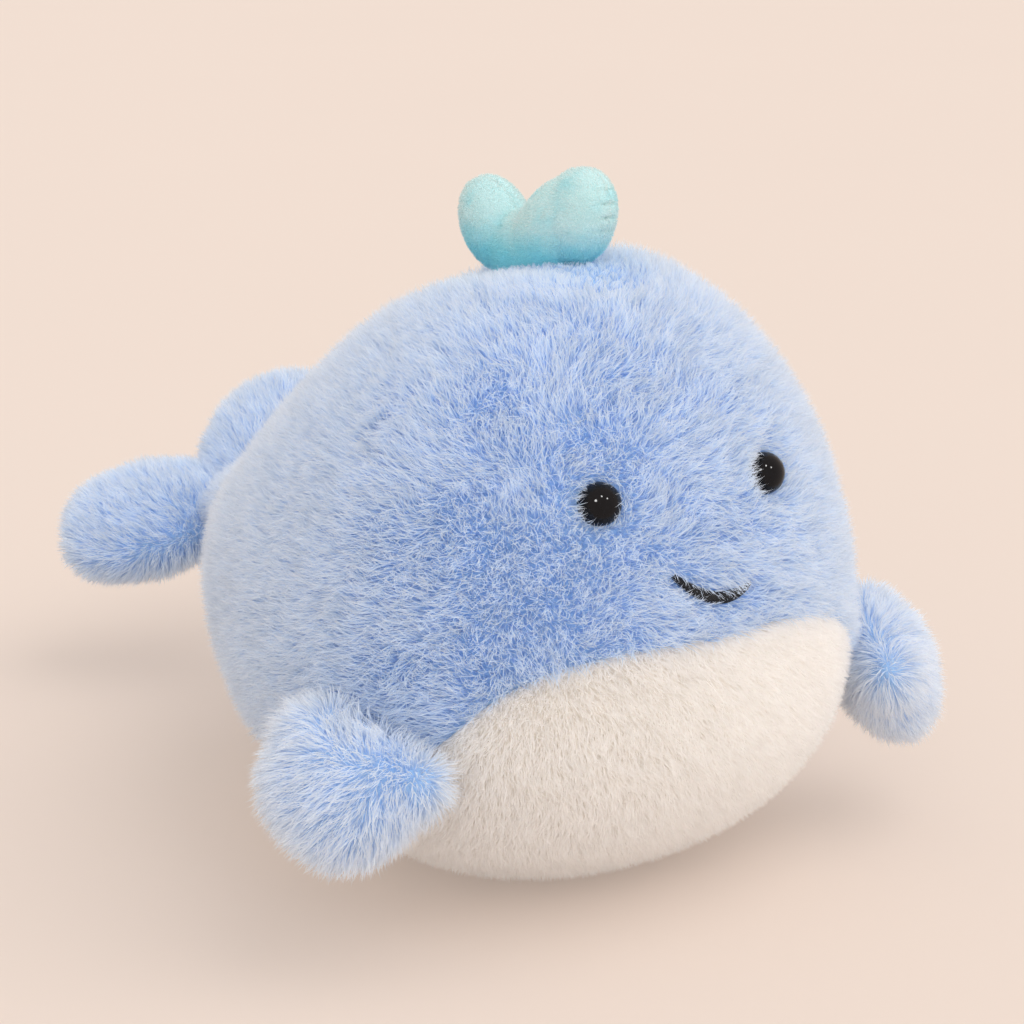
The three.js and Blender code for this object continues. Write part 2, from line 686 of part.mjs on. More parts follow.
// Body: two blue side panels, the cream belly panel and the stuffing, with all that is let into them
function buildBody() {
  const sides = { right: -1, left: 1 };
  const eyePlaces = Object.values(sides).map((side) => bodyFrame(eyeSeat(side), eyeSunk));
  const outer = cupRump(bodySolid(0, bodyRings, bodySides), 0);
  const inner = cupRump(bodySolid(panelThickness, coreRings, coreSides), panelThickness);
  const coreInset = panelThickness + seamGap;
  let core = cupRump(bodySolid(coreInset, coreRings, coreSides), coreInset);
  let shell = outer.subtract(inner);
  const letIn = [
    lay(spoutBarrel(seamGap), spoutPlace()),
    ...Object.values(sides).map((side) => lay(flipperBarrel(seamGap), flipperPlace(side))),
  ];
  letIn.forEach((geometry) => {
    shell = shell.subtract(toSolid(geometry));
  });
  const washerSeat = plug(washerDiameter / 2 + seamGap, -shankLength - seamGap, washerTop + seamGap);
  eyePlaces.forEach((place) => {
    const socket = plug(eyeDiameter / 2 + seamGap, -seamGap, overrun);
    const hole = plug(shankDiameter / 2 + seamGap, -overrun, overrun);
    shell = shell.subtract(toSolid(lay(socket, place))).subtract(toSolid(lay(hole, place)));
    shell = shell.subtract(toSolid(lay(washerSeat, place)));
    core = core.subtract(toSolid(lay(washerSeat, place)));
  });
  const smileBack = -smileSunk - smileThick;
  shell = shell.subtract(smileRibbon(seamGap, smileBack - seamGap, pile));
  const upper = shell.subtract(belowSeam(seamGap / 2));
  const meshes = Object.entries(sides).map(([label, side]) => {
    const half = toSolid(box(bodyReach, bodyReach, bodyReach, (side * (bodyReach + seamGap)) / 2, 0, 0));
    return toMesh(`${label}_side_panel`, upper.intersect(half), plushBlue);
  });
  meshes.push(toMesh('belly_panel', shell.intersect(belowSeam(-seamGap / 2)), plushCream));
  meshes.push(toMesh('body_filling', core, fibreWhite));
  meshes.push(toMesh('smile_embroidery', smileRibbon(0, smileBack, -smileSunk), threadBlack));
  Object.keys(sides).forEach((label, i) => {
    meshes.push(toMesh(`${label}_eye`, toSolid(lay(eyeGeometry(), eyePlaces[i])), glossBlack));
    meshes.push(toMesh(`${label}_eye_washer`, washerSolid(eyePlaces[i]), washerWhite));
  });
  return meshes;
}

const tail = hang(tailPlace, buildTail());
tail.add(hang(flukePlace, buildFlukes()));

const whale = new THREE.Group();
whale.add(...buildBody());
whale.add(buildFlipper(-1, 'right'), buildFlipper(1, 'left'));
whale.add(hang(spoutPlace(), buildSpout()), tail);

export default whale;
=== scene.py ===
# %% [markdown]
# A plush whale, dressed for its portrait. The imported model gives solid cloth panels; here each of
# them gets what makes it plush: a knitted backing, and a pile of separate fibres that stand on it.
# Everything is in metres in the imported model's own frame, but cloth is thought of in millimetres,
# so the measuring functions below work in millimetres and the mesh maker converts at the end.

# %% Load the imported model
import json
import math
import bpy
import numpy as np
from mathutils import Matrix, Vector


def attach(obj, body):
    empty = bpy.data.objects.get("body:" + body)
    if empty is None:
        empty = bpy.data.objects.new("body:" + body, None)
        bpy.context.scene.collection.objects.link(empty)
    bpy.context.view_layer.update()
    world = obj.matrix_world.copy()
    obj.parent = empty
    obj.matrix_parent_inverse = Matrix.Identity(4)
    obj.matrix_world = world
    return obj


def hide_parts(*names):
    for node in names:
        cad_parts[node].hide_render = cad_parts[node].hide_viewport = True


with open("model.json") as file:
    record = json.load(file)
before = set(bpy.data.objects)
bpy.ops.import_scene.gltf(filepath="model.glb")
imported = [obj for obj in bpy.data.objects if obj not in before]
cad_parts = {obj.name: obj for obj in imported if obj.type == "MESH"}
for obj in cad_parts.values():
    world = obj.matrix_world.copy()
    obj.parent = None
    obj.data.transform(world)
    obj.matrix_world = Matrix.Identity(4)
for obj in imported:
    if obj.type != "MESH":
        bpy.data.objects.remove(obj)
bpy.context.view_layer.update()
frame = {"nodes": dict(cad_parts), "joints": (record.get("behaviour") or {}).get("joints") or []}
MM = 0.001
SIDES = {"right": -1, "left": 1}  # of the whale, along X
joints = {joint["name"]: joint for joint in frame["joints"]}
joint_at = {name: np.array(joint["pos_m"]) / MM for name, joint in joints.items()}

# %% [markdown]
# The camera stands where the photographer stood: in front of the whale and to its right, a little
# above it, with a long lens that keeps the nose from swelling. The place was worked out from the
# outline of the body, so the lens and the distance belong together.

# %% Camera
CAMERA_AT = (-0.3151, -0.4557, 0.2302)
CAMERA_DIRECTION = (0.5461, 0.7925, -0.2713)
LENS, SENSOR_WIDTH = 90, 36


def add(name, data):
    """A new object in the scene."""
    made = bpy.data.objects.new(name, data)
    bpy.context.scene.collection.objects.link(made)
    return made


def aim(thing, direction):
    """Turns a camera or a lamp to point along a direction."""
    thing.rotation_euler = Vector(direction).to_track_quat("-Z", "Y").to_euler()


camera = add("portrait_camera", bpy.data.cameras.new("portrait_camera"))
camera.data.lens, camera.data.sensor_width = LENS, SENSOR_WIDTH
camera.data.clip_start, camera.data.clip_end = 0.01, 50
camera.location = CAMERA_AT
aim(camera, CAMERA_DIRECTION)
bpy.context.scene.camera = camera
bpy.context.scene.view_settings.view_transform = "Standard"
print("camera at", CAMERA_AT)

# %% [markdown]
# The body is an egg that is worked out ring by ring. One number runs along it from nose to rump and
# one goes round it, and the function gives the point where the tips of the pile end. The same egg
# serves for the backing, the stuffing and the roots of the fibres, each drawn in by its own depth.

# %% The egg
NOSE, RUMP, HALF_WIDTH, CROWN, BELLY = 52.2, 112.0, 68.0, 88.6, 49.5
WIDEST_AHEAD, WIDEST_HEIGHT, RUMP_RISE = 22.0, 49.0, 16.0
CROWN_DROP, CROWN_ROUND, BELLY_ROUND = 0.87, 1.92, 2.15
BELLY_STATIONS = (0, 0.22, 0.36, 0.45, 0.54, 0.67, 0.8, 0.9, 1)
BELLY_LINE = (1, 1.04, 1.1, 1.11, 1.08, 0.94, 0.86, 0.86, 0.8)


def section(rise, behind):
    """Reach of a ring's upper or lower half from the widest line, and the power that rounds it."""
    lower = BELLY * np.interp(-behind, BELLY_STATIONS, BELLY_LINE)
    reach = np.where(rise > 0, CROWN * (1 - CROWN_DROP * behind ** 2), lower)
    return reach, np.where(rise > 0, CROWN_ROUND, BELLY_ROUND)


def egg(u, v):
    """Points of the body's outline, in mm: u from nose 0 to rump 1, v once round from the back 0."""
    along = np.cos(np.pi * u)
    behind = np.minimum(along, 0)
    side, rise = np.sin(2 * np.pi * v), np.cos(2 * np.pi * v)
    height, power = section(rise, behind)
    fullness = (np.abs(side) ** power + np.abs(rise) ** power) ** (-1 / power)
    swell = np.sin(np.pi * u) * fullness
    return np.stack([
        HALF_WIDTH * swell * side,
        -WIDEST_AHEAD - np.where(along > 0, NOSE, RUMP) * along,
        WIDEST_HEIGHT + height * swell * rise + RUMP_RISE * behind ** 2,
    ], -1)


def unit(a):
    """The same directions with length one."""
    return a / np.maximum(np.linalg.norm(a, axis=-1, keepdims=True), 1e-12)


def egg_outward(u, v):
    """Outward direction of the egg's surface at u, v."""
    step = 1e-3
    near = np.clip(u, 2 * step, 1 - 2 * step)
    along = egg(near + step, v) - egg(near - step, v)
    round_it = egg(near, v + step) - egg(near, v - step)
    normal = unit(np.cross(along, round_it))
    middle = (egg(near, v) + egg(near, v + 0.5)) / 2
    facing = np.sum(normal * (egg(near, v) - middle), -1, keepdims=True)
    return np.where(facing < 0, -normal, normal)


def inside_egg(points, grow=0.0):
    """True where points, in mm, lie inside the egg grown by so many millimetres."""
    ahead = -points[:, 1] - WIDEST_AHEAD
    along = np.clip(ahead / (np.where(ahead > 0, NOSE, RUMP) + grow), -1, 1)
    ring = np.sqrt(1 - along ** 2)
    behind = np.minimum(along, 0)
    lift = points[:, 2] - WIDEST_HEIGHT - RUMP_RISE * behind ** 2
    height, power = section(lift, behind)
    across = np.abs(points[:, 0]) / np.maximum((HALF_WIDTH + grow) * ring, 1e-6)
    up = np.abs(lift) / np.maximum((height + grow) * ring, 1e-6)
    return across ** power + up ** power < 1


print("crown at", np.round(egg(np.array([0.55]), np.array([0.0])), 1))

# %% [markdown]
# The cream belly is sewn to the blue sides along one line. In a side view it falls from the chin
# to behind the flippers. Each ring of the egg is cut where it meets that line, so that the two
# covers share the seam point by point. The place on the ring is found by halving.

# %% The belly seam
SEAM_AHEAD = (-140, -97, -70, -45, -20, 2, 18, 26.5, 32, 36, 40, 44, 49, 56, 66, 80)
SEAM_HEIGHT = (50, 40.5, 31, 28, 28.6, 31.4, 35.5, 41, 47.2, 52.9, 57.6, 61.2, 63.6, 64.2, 64.4, 64.4)


def halved(low, high, still_true, rounds):
    """Numbers between low and high at which a test that starts true turns false."""
    for _ in range(rounds):
        middle = (low + high) / 2
        true = still_true(middle)
        low, high = np.where(true, middle, low), np.where(true, high, middle)
    return (low + high) / 2


def seam_turn(u):
    """How far round from the back, 0 to 0.5, each ring meets the belly seam."""
    back = np.zeros_like(u)
    line = np.interp(-egg(u, back)[:, 1] - WIDEST_AHEAD, SEAM_AHEAD, SEAM_HEIGHT)
    return halved(back, back + 0.5, lambda v: egg(u, v)[:, 2] > line, 30)


print("seam at the widest ring", seam_turn(np.array([0.5])))

# %% [markdown]
# A mesh comes from two arrays, its points and its faces. Adding them in one go is far quicker than
# one vertex at a time, which matters when a single piece has two hundred thousand faces.

# %% Mesh maker
def mesh_piece(name, points, faces, material, smooth=True, sound=False):
    """A new object from points in mm and faces of three or four corners, -1 for no fourth. Blender
    mends the faces, unless they are known to be sound."""
    used = faces >= 0
    sizes = used.sum(1).astype(np.int32)
    mesh = bpy.data.meshes.new(name)
    mesh.vertices.add(len(points))
    mesh.vertices.foreach_set("co", (points * MM).astype(np.float32).ravel())
    mesh.loops.add(int(used.sum()))
    mesh.loops.foreach_set("vertex_index", faces[used].astype(np.int32))
    mesh.polygons.add(len(faces))
    mesh.polygons.foreach_set("loop_start", (np.cumsum(sizes) - sizes).astype(np.int32))
    mesh.polygons.foreach_set("use_smooth", np.full(len(faces), smooth))
    mesh.update(calc_edges=True)
    if not sound:
        mesh.validate()
    mesh.materials.append(material)
    return add(name, mesh)


def read(items, title):
    """One three-part value of each vertex as an array."""
    values = np.empty(len(items) * 3, np.float32)
    items.foreach_get(title, values)
    return values.reshape(-1, 3)


def grid_faces(rows, columns, wrap):
    """Four-cornered faces of a grid of points, row by row, closed round when wrap is true."""
    across = columns if wrap else columns - 1
    i, j = np.meshgrid(np.arange(rows - 1), np.arange(across), indexing="ij")
    i, j = i.ravel(), j.ravel()
    k = (j + 1) % columns
    return np.stack([i * columns + j, i * columns + k, (i + 1) * columns + k, (i + 1) * columns + j], 1)


def welded(points, faces):
    """The same surface with points that coincide joined, and without faces that have no area."""
    keys, where = np.unique(np.round(points, 4), axis=0, return_inverse=True)
    kept = []
    for face in where.ravel()[faces]:
        corners = list(dict.fromkeys(face.tolist()))
        if len(corners) > 2:
            kept.append(corners + [-1] * (4 - len(corners)))
    return keys, np.array(kept)


def skin(x, y, z):
    """Closed skin of a form whose points are given pole to pole and once round."""
    points = np.stack(np.broadcast_arrays(x, y, z), -1)
    return welded(points.reshape(-1, 3), grid_faces(*points.shape[:2], True))


def once_round(columns):
    return np.linspace(0, 1, columns, endpoint=False)[None, :]


def pole_to_pole(rows, columns):
    """Two numbers for the points of a closed form: one from pole to pole, and one once round."""
    return np.linspace(0, 1, rows)[:, None], once_round(columns)


print("a grid of 3 by 4 points has", len(grid_faces(3, 4, True)), "faces when it is closed")

# %% [markdown]
# Materials are node trees, and the same few steps come back in all of them: a node at a place, a
# link, a sum, a blend of two colours. These helpers keep the recipes below short. An input is fed
# either with another node's output, which makes a link, or with a plain value.

# %% Node helpers
COLOUR, NUMBER = "NodeSocketColor", "NodeSocketFloat"


def feed(tree, made, sources):
    """Gives a node's inputs, by title or by number, an output to read or a plain value."""
    for title, source in sources.items():
        if isinstance(source, bpy.types.NodeSocket):
            tree.links.new(source, made.inputs[title])
        else:
            made.inputs[title].default_value = source


def node(tree, kind, at, sources=None, **settings):
    """A new node at a place, set up and fed."""
    made = tree.nodes.new(kind if kind.startswith("NodeGroup") else "ShaderNode" + kind)
    made.location = at
    for name, value in settings.items():
        setattr(made, name, value)
    feed(tree, made, sources or {})
    return made


def math_node(tree, operation, at, *terms, clamp=False):
    """The result of an operation on two or three numbers."""
    return node(tree, "Math", at, dict(enumerate(terms)), operation=operation, use_clamp=clamp).outputs[0]


def vector_node(tree, operation, at, sources):
    return node(tree, "VectorMath", at, sources, operation=operation).outputs[0]


def blend(tree, at, share, a, b, kind="MIX"):
    """The colour a blended into b by a share."""
    return node(tree, "Mix", at, {0: share, 6: a, 7: b}, data_type="RGBA", blend_type=kind).outputs[2]


def mixed_shader(tree, at, share, a, b):
    return node(tree, "MixShader", at, {0: share, 1: a, 2: b}).outputs[0]


def noise(tree, at, scale, detail):
    """Soft noise that stays on the object as it moves."""
    place = node(tree, "TexCoord", (at[0] - 250, at[1])).outputs["Object"]
    return node(tree, "TexNoise", at, {"Vector": place, "Scale": scale, "Detail": detail}).outputs[0]


def new_group(title, inputs, outputs):
    """A group's tree, what comes in and the node where its outputs go, from titles and first values."""
    tree = bpy.data.node_groups.new(title, "ShaderNodeTree")
    for name, value in inputs.items():
        kind = COLOUR if isinstance(value, tuple) else NUMBER
        tree.interface.new_socket(name=name, in_out="INPUT", socket_type=kind).default_value = value
    for name, kind in outputs.items():
        tree.interface.new_socket(name=name, in_out="OUTPUT", socket_type=kind)
    return tree, node(tree, "NodeGroupInput", (-900, 0)).outputs, node(tree, "NodeGroupOutput", (900, 0))


def plain_shader(name, **values):
    """A material, its tree and its Principled shader, with values set on the shader's own sockets."""
    material = bpy.data.materials.new(name)
    material.use_nodes = True
    tree = material.node_tree
    shader = tree.nodes["Principled BSDF"]
    feed(tree, shader, {title.replace("_", " "): value for title, value in values.items()})
    return material, tree, shader


print("sockets", COLOUR, NUMBER)

# %% [markdown]
# Plush gets its colour from millions of fibres, and no two are dyed alike. The same recipe serves
# the blue, the cream and the aqua pile: dark near the root, which is painted shade deep in the pile,
# paler toward the tip, a little different from fibre to fibre and from patch to patch. So it is one
# node group with the colours as inputs. The mesh carries the three measures it reads: how far along
# the fibre, which fibre, and which tuft.

# %% Fibre colour group
pile_group, given, result = new_group(
    "Fibre colour",
    {"Along": 0.5, "Fibre": 0.5, "Tuft": 0.5, "Root": (0.2, 0.3, 0.6, 1), "Middle": (0.4, 0.5, 0.8, 1),
     "Tip": (0.7, 0.8, 1, 1), "Variety": 0.3},
    {"Colour": COLOUR, "Roughness": NUMBER})
# Painted shade: the colour darkens from the middle down to the root colour, where the pile lies deep.
lower_share = math_node(pile_group, "MULTIPLY", (-600, 200), given["Along"], 2.0, clamp=True)
upper_share = math_node(pile_group, "MULTIPLY_ADD", (-600, 0), given["Along"], 2.0, -1.0, clamp=True)
shaded_toward_root = blend(pile_group, (-300, 200), lower_share, given["Root"], given["Middle"])
tipped = blend(pile_group, (-100, 100), upper_share, shaded_toward_root, given["Tip"])
odd = math_node(pile_group, "SUBTRACT", (-600, -200), given["Fibre"], 0.5)
patch = math_node(pile_group, "SUBTRACT", (-600, -350), given["Tuft"], 0.5)
both = math_node(pile_group, "ADD", (-400, -250), odd, patch)
change = math_node(pile_group, "MULTIPLY", (-200, -250), both, given["Variety"])
level = math_node(pile_group, "ADD", (0, -250), change, 1.0)
feed(pile_group, result, {
    "Colour": vector_node(pile_group, "SCALE", (300, 100), {0: tipped, "Scale": level}),
    "Roughness": math_node(pile_group, "MULTIPLY_ADD", (300, -150), given["Fibre"], 0.25, 0.55)})
print("group", pile_group.name, len(pile_group.nodes), "nodes")

# %% [markdown]
# The spout's cloth is painted darker and bluer toward its foot, as painted shade where it sits down
# in the crown's blue pile, and it is blotched where it has been handled. The short pile and the
# backing under it take the same painted shade and blotches, so they are a group of their own. It
# reads the height on the spout, and noise makes the edge of the shade ragged.

# %% Foot shade and blotch group
foot_shade_and_blotch_group, given, result = new_group(
    "Foot shade and blotches",
    {"Colour": (0.6, 0.8, 0.8, 1), "Shade and blotch": (0.5, 0.9, 1, 1), "Full below": 0.133, "None above": 0.1425},
    {"Colour": COLOUR})


def soft_step(at, value, start, end, first, last):
    """First up to the start, last from the end on, and a smooth change between them."""
    limits = {"Value": value, "From Min": start, "From Max": end, "To Min": first, "To Max": last}
    return node(foot_shade_and_blotch_group, "MapRange", at, limits, interpolation_type="SMOOTHSTEP").outputs[0]


place = node(foot_shade_and_blotch_group, "TexCoord", (-900, 300)).outputs["Object"]
height = node(foot_shade_and_blotch_group, "SeparateXYZ", (-700, 300), {0: place}).outputs["Z"]
edge = noise(foot_shade_and_blotch_group, (-700, 600), 260, 3)
ragged = math_node(foot_shade_and_blotch_group, "MULTIPLY_ADD", (-500, 500), edge, 0.005, -0.0025)
uneven = math_node(foot_shade_and_blotch_group, "ADD", (-300, 400), height, ragged)
# Painted shade: darker toward the foot, where the spout sits down in the crown's blue pile.
foot = soft_step((-100, 300), uneven, given["Full below"], given["None above"], 1.0, 0.0)
worn = soft_step((-100, 600), noise(foot_shade_and_blotch_group, (-700, 900), 130, 5), 0.50, 0.68, 0.0, 0.42)
shaded_or_blotched = math_node(foot_shade_and_blotch_group, "MAXIMUM", (150, 400), foot, worn)
feed(foot_shade_and_blotch_group, result, {
    "Colour": blend(foot_shade_and_blotch_group, (400, 200), shaded_or_blotched, given["Colour"], given["Shade and blotch"], "MULTIPLY")})


def with_foot_shade_and_blotches(tree, colour, foot_shade_and_blotch):
    """The same colour with the painted shade at the spout's foot and the blotches, or untouched where there
    are none.
    """
    if foot_shade_and_blotch is None:
        return colour
    sources = {"Colour": colour, "Shade and blotch": (*foot_shade_and_blotch, 1)}
    return node(tree, "Group", (-200, 500), sources, node_tree=foot_shade_and_blotch_group).outputs["Colour"]


print("group", foot_shade_and_blotch_group.name, len(foot_shade_and_blotch_group.nodes), "nodes")

# %% [markdown]
# A fibre is far too thin to be round in the mesh: it is a flat blade. A real fibre catches light
# from every side, and a flat blade would flash or go dark as it turns. So each blade carries the
# direction that its tuft faces, and the shader takes that as its normal. The direction has to turn
# with a flipper that lifts, so it goes from the object's space to the world's. A fibre is also so
# fine that light comes through it. A ray on its way to a lamp is therefore only dimmed and tinted
# by each fibre that it meets, which keeps the depth of the pile from going black.

# %% Fibre material
OUTWARD_SHARE = 0.5  # how strongly a blade is lit as its tuft is, against its own flat side
THROUGH_SHARE = 0.5  # of the light on a blade comes through from its far side


def fibre_material(name, root, middle, tip, variety, sheen, sheen_tint, passed, foot_shade_and_blotch=None):
    """Pile of three colours from root to tip, darker at the root as painted shade deep in the pile. passed
    is what a ray to a lamp keeps at each fibre.
    """
    material, tree, shader = plain_shader(name, Specular_IOR_Level=0.18, Sheen_Weight=sheen,
                                          Sheen_Roughness=0.45, Sheen_Tint=(*sheen_tint, 1))
    measures = node(tree, "Attribute", (-900, 200), attribute_name="fibre")
    parts = node(tree, "SeparateXYZ", (-700, 200), {0: measures.outputs["Vector"]}).outputs
    colouring = node(tree, "Group", (-400, 200), {
        "Along": parts["X"], "Fibre": parts["Y"], "Tuft": parts["Z"], "Root": (*root, 1),
        "Middle": (*middle, 1), "Tip": (*tip, 1), "Variety": variety}, node_tree=pile_group).outputs
    colour = with_foot_shade_and_blotches(tree, colouring["Colour"], foot_shade_and_blotch)
    facing = node(tree, "Attribute", (-900, -100), attribute_name="facing")
    turned = node(tree, "VectorTransform", (-600, -100), {0: facing.outputs["Vector"]},
                  vector_type="NORMAL", convert_from="OBJECT", convert_to="WORLD").outputs[0]
    outward = vector_node(tree, "SCALE", (-400, -100), {0: turned, "Scale": OUTWARD_SHARE})
    blade = node(tree, "NewGeometry", (-600, -350)).outputs["Normal"]
    near_side = vector_node(tree, "ADD", (-200, -100), {0: outward, 1: blade})
    far_side = vector_node(tree, "SUBTRACT", (-200, -300), {0: blade, 1: outward})
    feed(tree, shader, {"Base Color": colour, "Roughness": colouring["Roughness"], "Normal": near_side})
    through = node(tree, "BsdfTranslucent", (0, -300), {"Color": colour, "Normal": far_side}).outputs[0]
    glow = node(tree, "BsdfTransparent", (300, -300), {"Color": (*passed, 1)}).outputs[0]
    to_lamp = node(tree, "LightPath", (300, 400)).outputs["Is Shadow Ray"]
    both_sides = mixed_shader(tree, (300, 0), THROUGH_SHARE, shader.outputs[0], through)
    feed(tree, tree.nodes["Material Output"], {
        "Surface": mixed_shader(tree, (550, 100), to_lamp, both_sides, glow)})
    material.cycles.use_bump_map_correction = False
    return material


# Colour that darkens the aqua, both for the painted shade at the spout's foot and for the blotches.
SPOUT_FOOT_SHADE_AND_BLOTCH = (0.46, 0.88, 0.96)
BLUE_SHEEN, CREAM_SHEEN, AQUA_SHEEN = (0.95, 0.97, 1.0), (1.0, 0.98, 0.95), (0.9, 1.0, 1.0)
# Each pile's root colour is darker than its tip as painted shade deep in the pile.
blue_fibre = fibre_material("blue_fibre", (0.44, 0.62, 0.915), (0.71, 0.828, 0.975), (0.89, 0.935, 0.995),
                            0.09, 0.24, BLUE_SHEEN, (0.865, 0.90, 0.95))
# Painted light: the flippers' pile is a paler copy of the blue, painted lighter for the light that the
# flippers catch.
lit_blue_fibre = fibre_material("lit_blue_fibre", (0.56, 0.71, 0.94), (0.80, 0.88, 0.985), (0.925, 0.955, 0.997),
                            0.09, 0.24, BLUE_SHEEN, (0.89, 0.92, 0.955))
cream_fibre = fibre_material("cream_fibre", (0.975, 0.945, 0.905), (0.99, 0.977, 0.962),
                             (0.994, 0.986, 0.975), 0.04, 0.1, CREAM_SHEEN, (0.982, 0.975, 0.962))
aqua_fibre = fibre_material("aqua_fibre", (0.62, 0.84, 0.85), (0.75, 0.895, 0.895), (0.83, 0.93, 0.93),
                            0.06, 0.12, AQUA_SHEEN, (0.88, 0.94, 0.945), foot_shade_and_blotch=SPOUT_FOOT_SHADE_AND_BLOTCH)
print("fibre materials", blue_fibre.name, lit_blue_fibre.name, cream_fibre.name, aqua_fibre.name)

# %% [markdown]
# Under the pile lies the knitted backing: loops about a millimetre apart. It shows only where the
# pile parts, so a fine bump of loops with a mottled dye is enough. Loose stuffing has no loops, but
# the same lumps and mottling serve it at a coarser size.

# %% Knitted backing group
knit_group, given, result = new_group(
    "Knitted backing",
    {"Dark": (0.1, 0.2, 0.5, 1), "Light": (0.3, 0.4, 0.8, 1), "Loops per metre": 900.0},
    {"Colour": COLOUR, "Height": NUMBER, "Roughness": NUMBER})
place = node(knit_group, "TexCoord", (-900, -300)).outputs["Object"]
loops = node(knit_group, "TexVoronoi", (-500, -200), {"Vector": place, "Scale": given["Loops per metre"]},
             feature="F1")
colouring = noise(knit_group, (-500, 100), 140, 4)
feed(knit_group, result, {
    "Colour": blend(knit_group, (-100, 100), colouring, given["Dark"], given["Light"]),
    "Height": math_node(knit_group, "SUBTRACT", (-100, -200), 1.0, loops.outputs["Distance"]),
    "Roughness": math_node(knit_group, "MULTIPLY_ADD", (-100, -400), colouring, 0.2, 0.75)})


def surfaced(name, group, values, relief, foot_shade_and_blotch=None, **shader_values):
    """A material with the colour, roughness and relief of a group. relief is its depth in metres."""
    material, tree, shader = plain_shader(name, **shader_values)
    look = node(tree, "Group", (-500, 100), values, node_tree=group).outputs
    bump = node(tree, "Bump", (-250, -150), {"Distance": relief, "Height": look["Height"]})
    feed(tree, shader, {"Base Color": with_foot_shade_and_blotches(tree, look["Colour"], foot_shade_and_blotch), "Roughness": look["Roughness"],
                        "Normal": bump.outputs[0]})
    return material


def backing(name, dark, light, loops_per_metre=900.0, relief=0.0004, foot_shade_and_blotch=None):
    """Knitted cloth in two dyes that run into each other."""
    values = {"Dark": (*dark, 1), "Light": (*light, 1), "Loops per metre": loops_per_metre}
    return surfaced(name, knit_group, values, relief, foot_shade_and_blotch, Specular_IOR_Level=0.15, Sheen_Weight=0.2)


blue_backing = backing("blue_backing", (0.32, 0.54, 0.86), (0.45, 0.65, 0.91))
cream_backing = backing("cream_backing", (0.93, 0.89, 0.84), (0.96, 0.94, 0.90))
aqua_backing = backing("aqua_backing", (0.48, 0.76, 0.78), (0.68, 0.86, 0.87), 2500.0, 0.00015, SPOUT_FOOT_SHADE_AND_BLOTCH)
stuffing_fibre = backing("stuffing_fibre", (0.78, 0.78, 0.79), (0.92, 0.92, 0.92), 400.0, 0.001)
print("group", knit_group.name, len(knit_group.nodes), "nodes")

# %% [markdown]
# The body's cover is cut as three panels: a right side, a left side and the belly. Each backing
# lies at the depth where the fibres are rooted. The rings of the egg are cut at the seam, half of
# the points going to a side panel and half to the belly, so the panels meet edge to edge. A cloth
# thickness is added inward by a Solidify modifier when the pieces are attached.

# %% Body covers
ROOT_DEPTH = 4.2  # mm from the tips of the pile down to the backing
RINGS, ROUND = 150, 56


def egg_sheet(u, turns, depth):
    """Points of a strip of the egg, drawn in by a depth and cut flat near the ground."""
    u, v = np.repeat(u[:, None], turns.shape[1], 1).ravel(), turns.ravel()
    points = egg(u, v) - egg_outward(u, v) * depth
    points[:, 2] = np.maximum(points[:, 2], depth)
    return points


ring_u = (1 - np.cos(np.linspace(0, np.pi, RINGS))) / 2 * 0.6 + np.linspace(0, 1, RINGS) * 0.4
seam_v = seam_turn(ring_u)[:, None]
share = np.linspace(0, 1, ROUND)[None, :]
body_covers = {}
for label, material, turns in (("right_side", blue_backing, -seam_v * share),
                               ("left_side", blue_backing, seam_v * share),
                               ("belly", cream_backing, seam_v + (1 - 2 * seam_v) * share)):
    points, faces = welded(egg_sheet(ring_u, turns, ROOT_DEPTH), grid_faces(RINGS, ROUND, False))
    if label == "right_side":
        faces = faces[:, ::-1]
    body_covers[label] = mesh_piece(f"{label}_cover", points, faces, material)
    print(f"{label}_cover", len(body_covers[label].data.polygons), "faces")

# %% [markdown]
# A limb is two panels sewn face to face and turned right side out, so it is plump in the middle
# and pinched along its edge. Its backing starts from simple swollen forms. They are fused by a
# voxel remesh, as stuffing fuses the real shapes, and smoothed.

# %% Limb forms
def frame_of(x_axis, y_axis, z_axis, origin):
    """Matrix of a limb's own axes, with its origin given in mm."""
    rows = np.column_stack([x_axis, y_axis, z_axis, np.array(origin) * MM]).tolist()
    return Matrix([*rows, [0, 0, 0, 1]])


def leaned(x, y, z, lean, centre=(0, 0, 0)):
    """A form leaned to the side in the plane of the limb, and moved to its place."""
    cos, sin = math.cos(math.radians(lean)), math.sin(math.radians(lean))
    return skin(x * cos - y * sin + centre[0], x * sin + y * cos + centre[1], z + centre[2])


def paddle(start, length, broad, thick, root_share, lean, depth):
    """A swollen paddle along Y, drawn in by a depth. It is fullest 0.6 of the way to its tip."""
    u, v = pole_to_pole(40, 40)
    along = start + depth + (length - start - 2 * depth) * (1 - np.cos(np.pi * u)) / 2
    opening = np.sin(np.pi / 2 * np.minimum(u / 0.6, 1))
    swell = np.maximum(np.sin(np.pi * u), 0) ** 0.62 * (root_share + (1 - root_share) * opening)
    return leaned((broad - depth) * swell * np.sin(2 * np.pi * v), along,
                  (thick - depth) * swell * np.cos(2 * np.pi * v), -lean)


def ball(radii, centre, lean=0):
    """A ball with three radii."""
    u, v = pole_to_pole(30, 40)
    return leaned(radii[0] * np.sin(np.pi * u) * np.cos(2 * np.pi * v), radii[1] * np.cos(np.pi * u),
                  radii[2] * np.sin(np.pi * u) * np.sin(2 * np.pi * v), lean, centre)


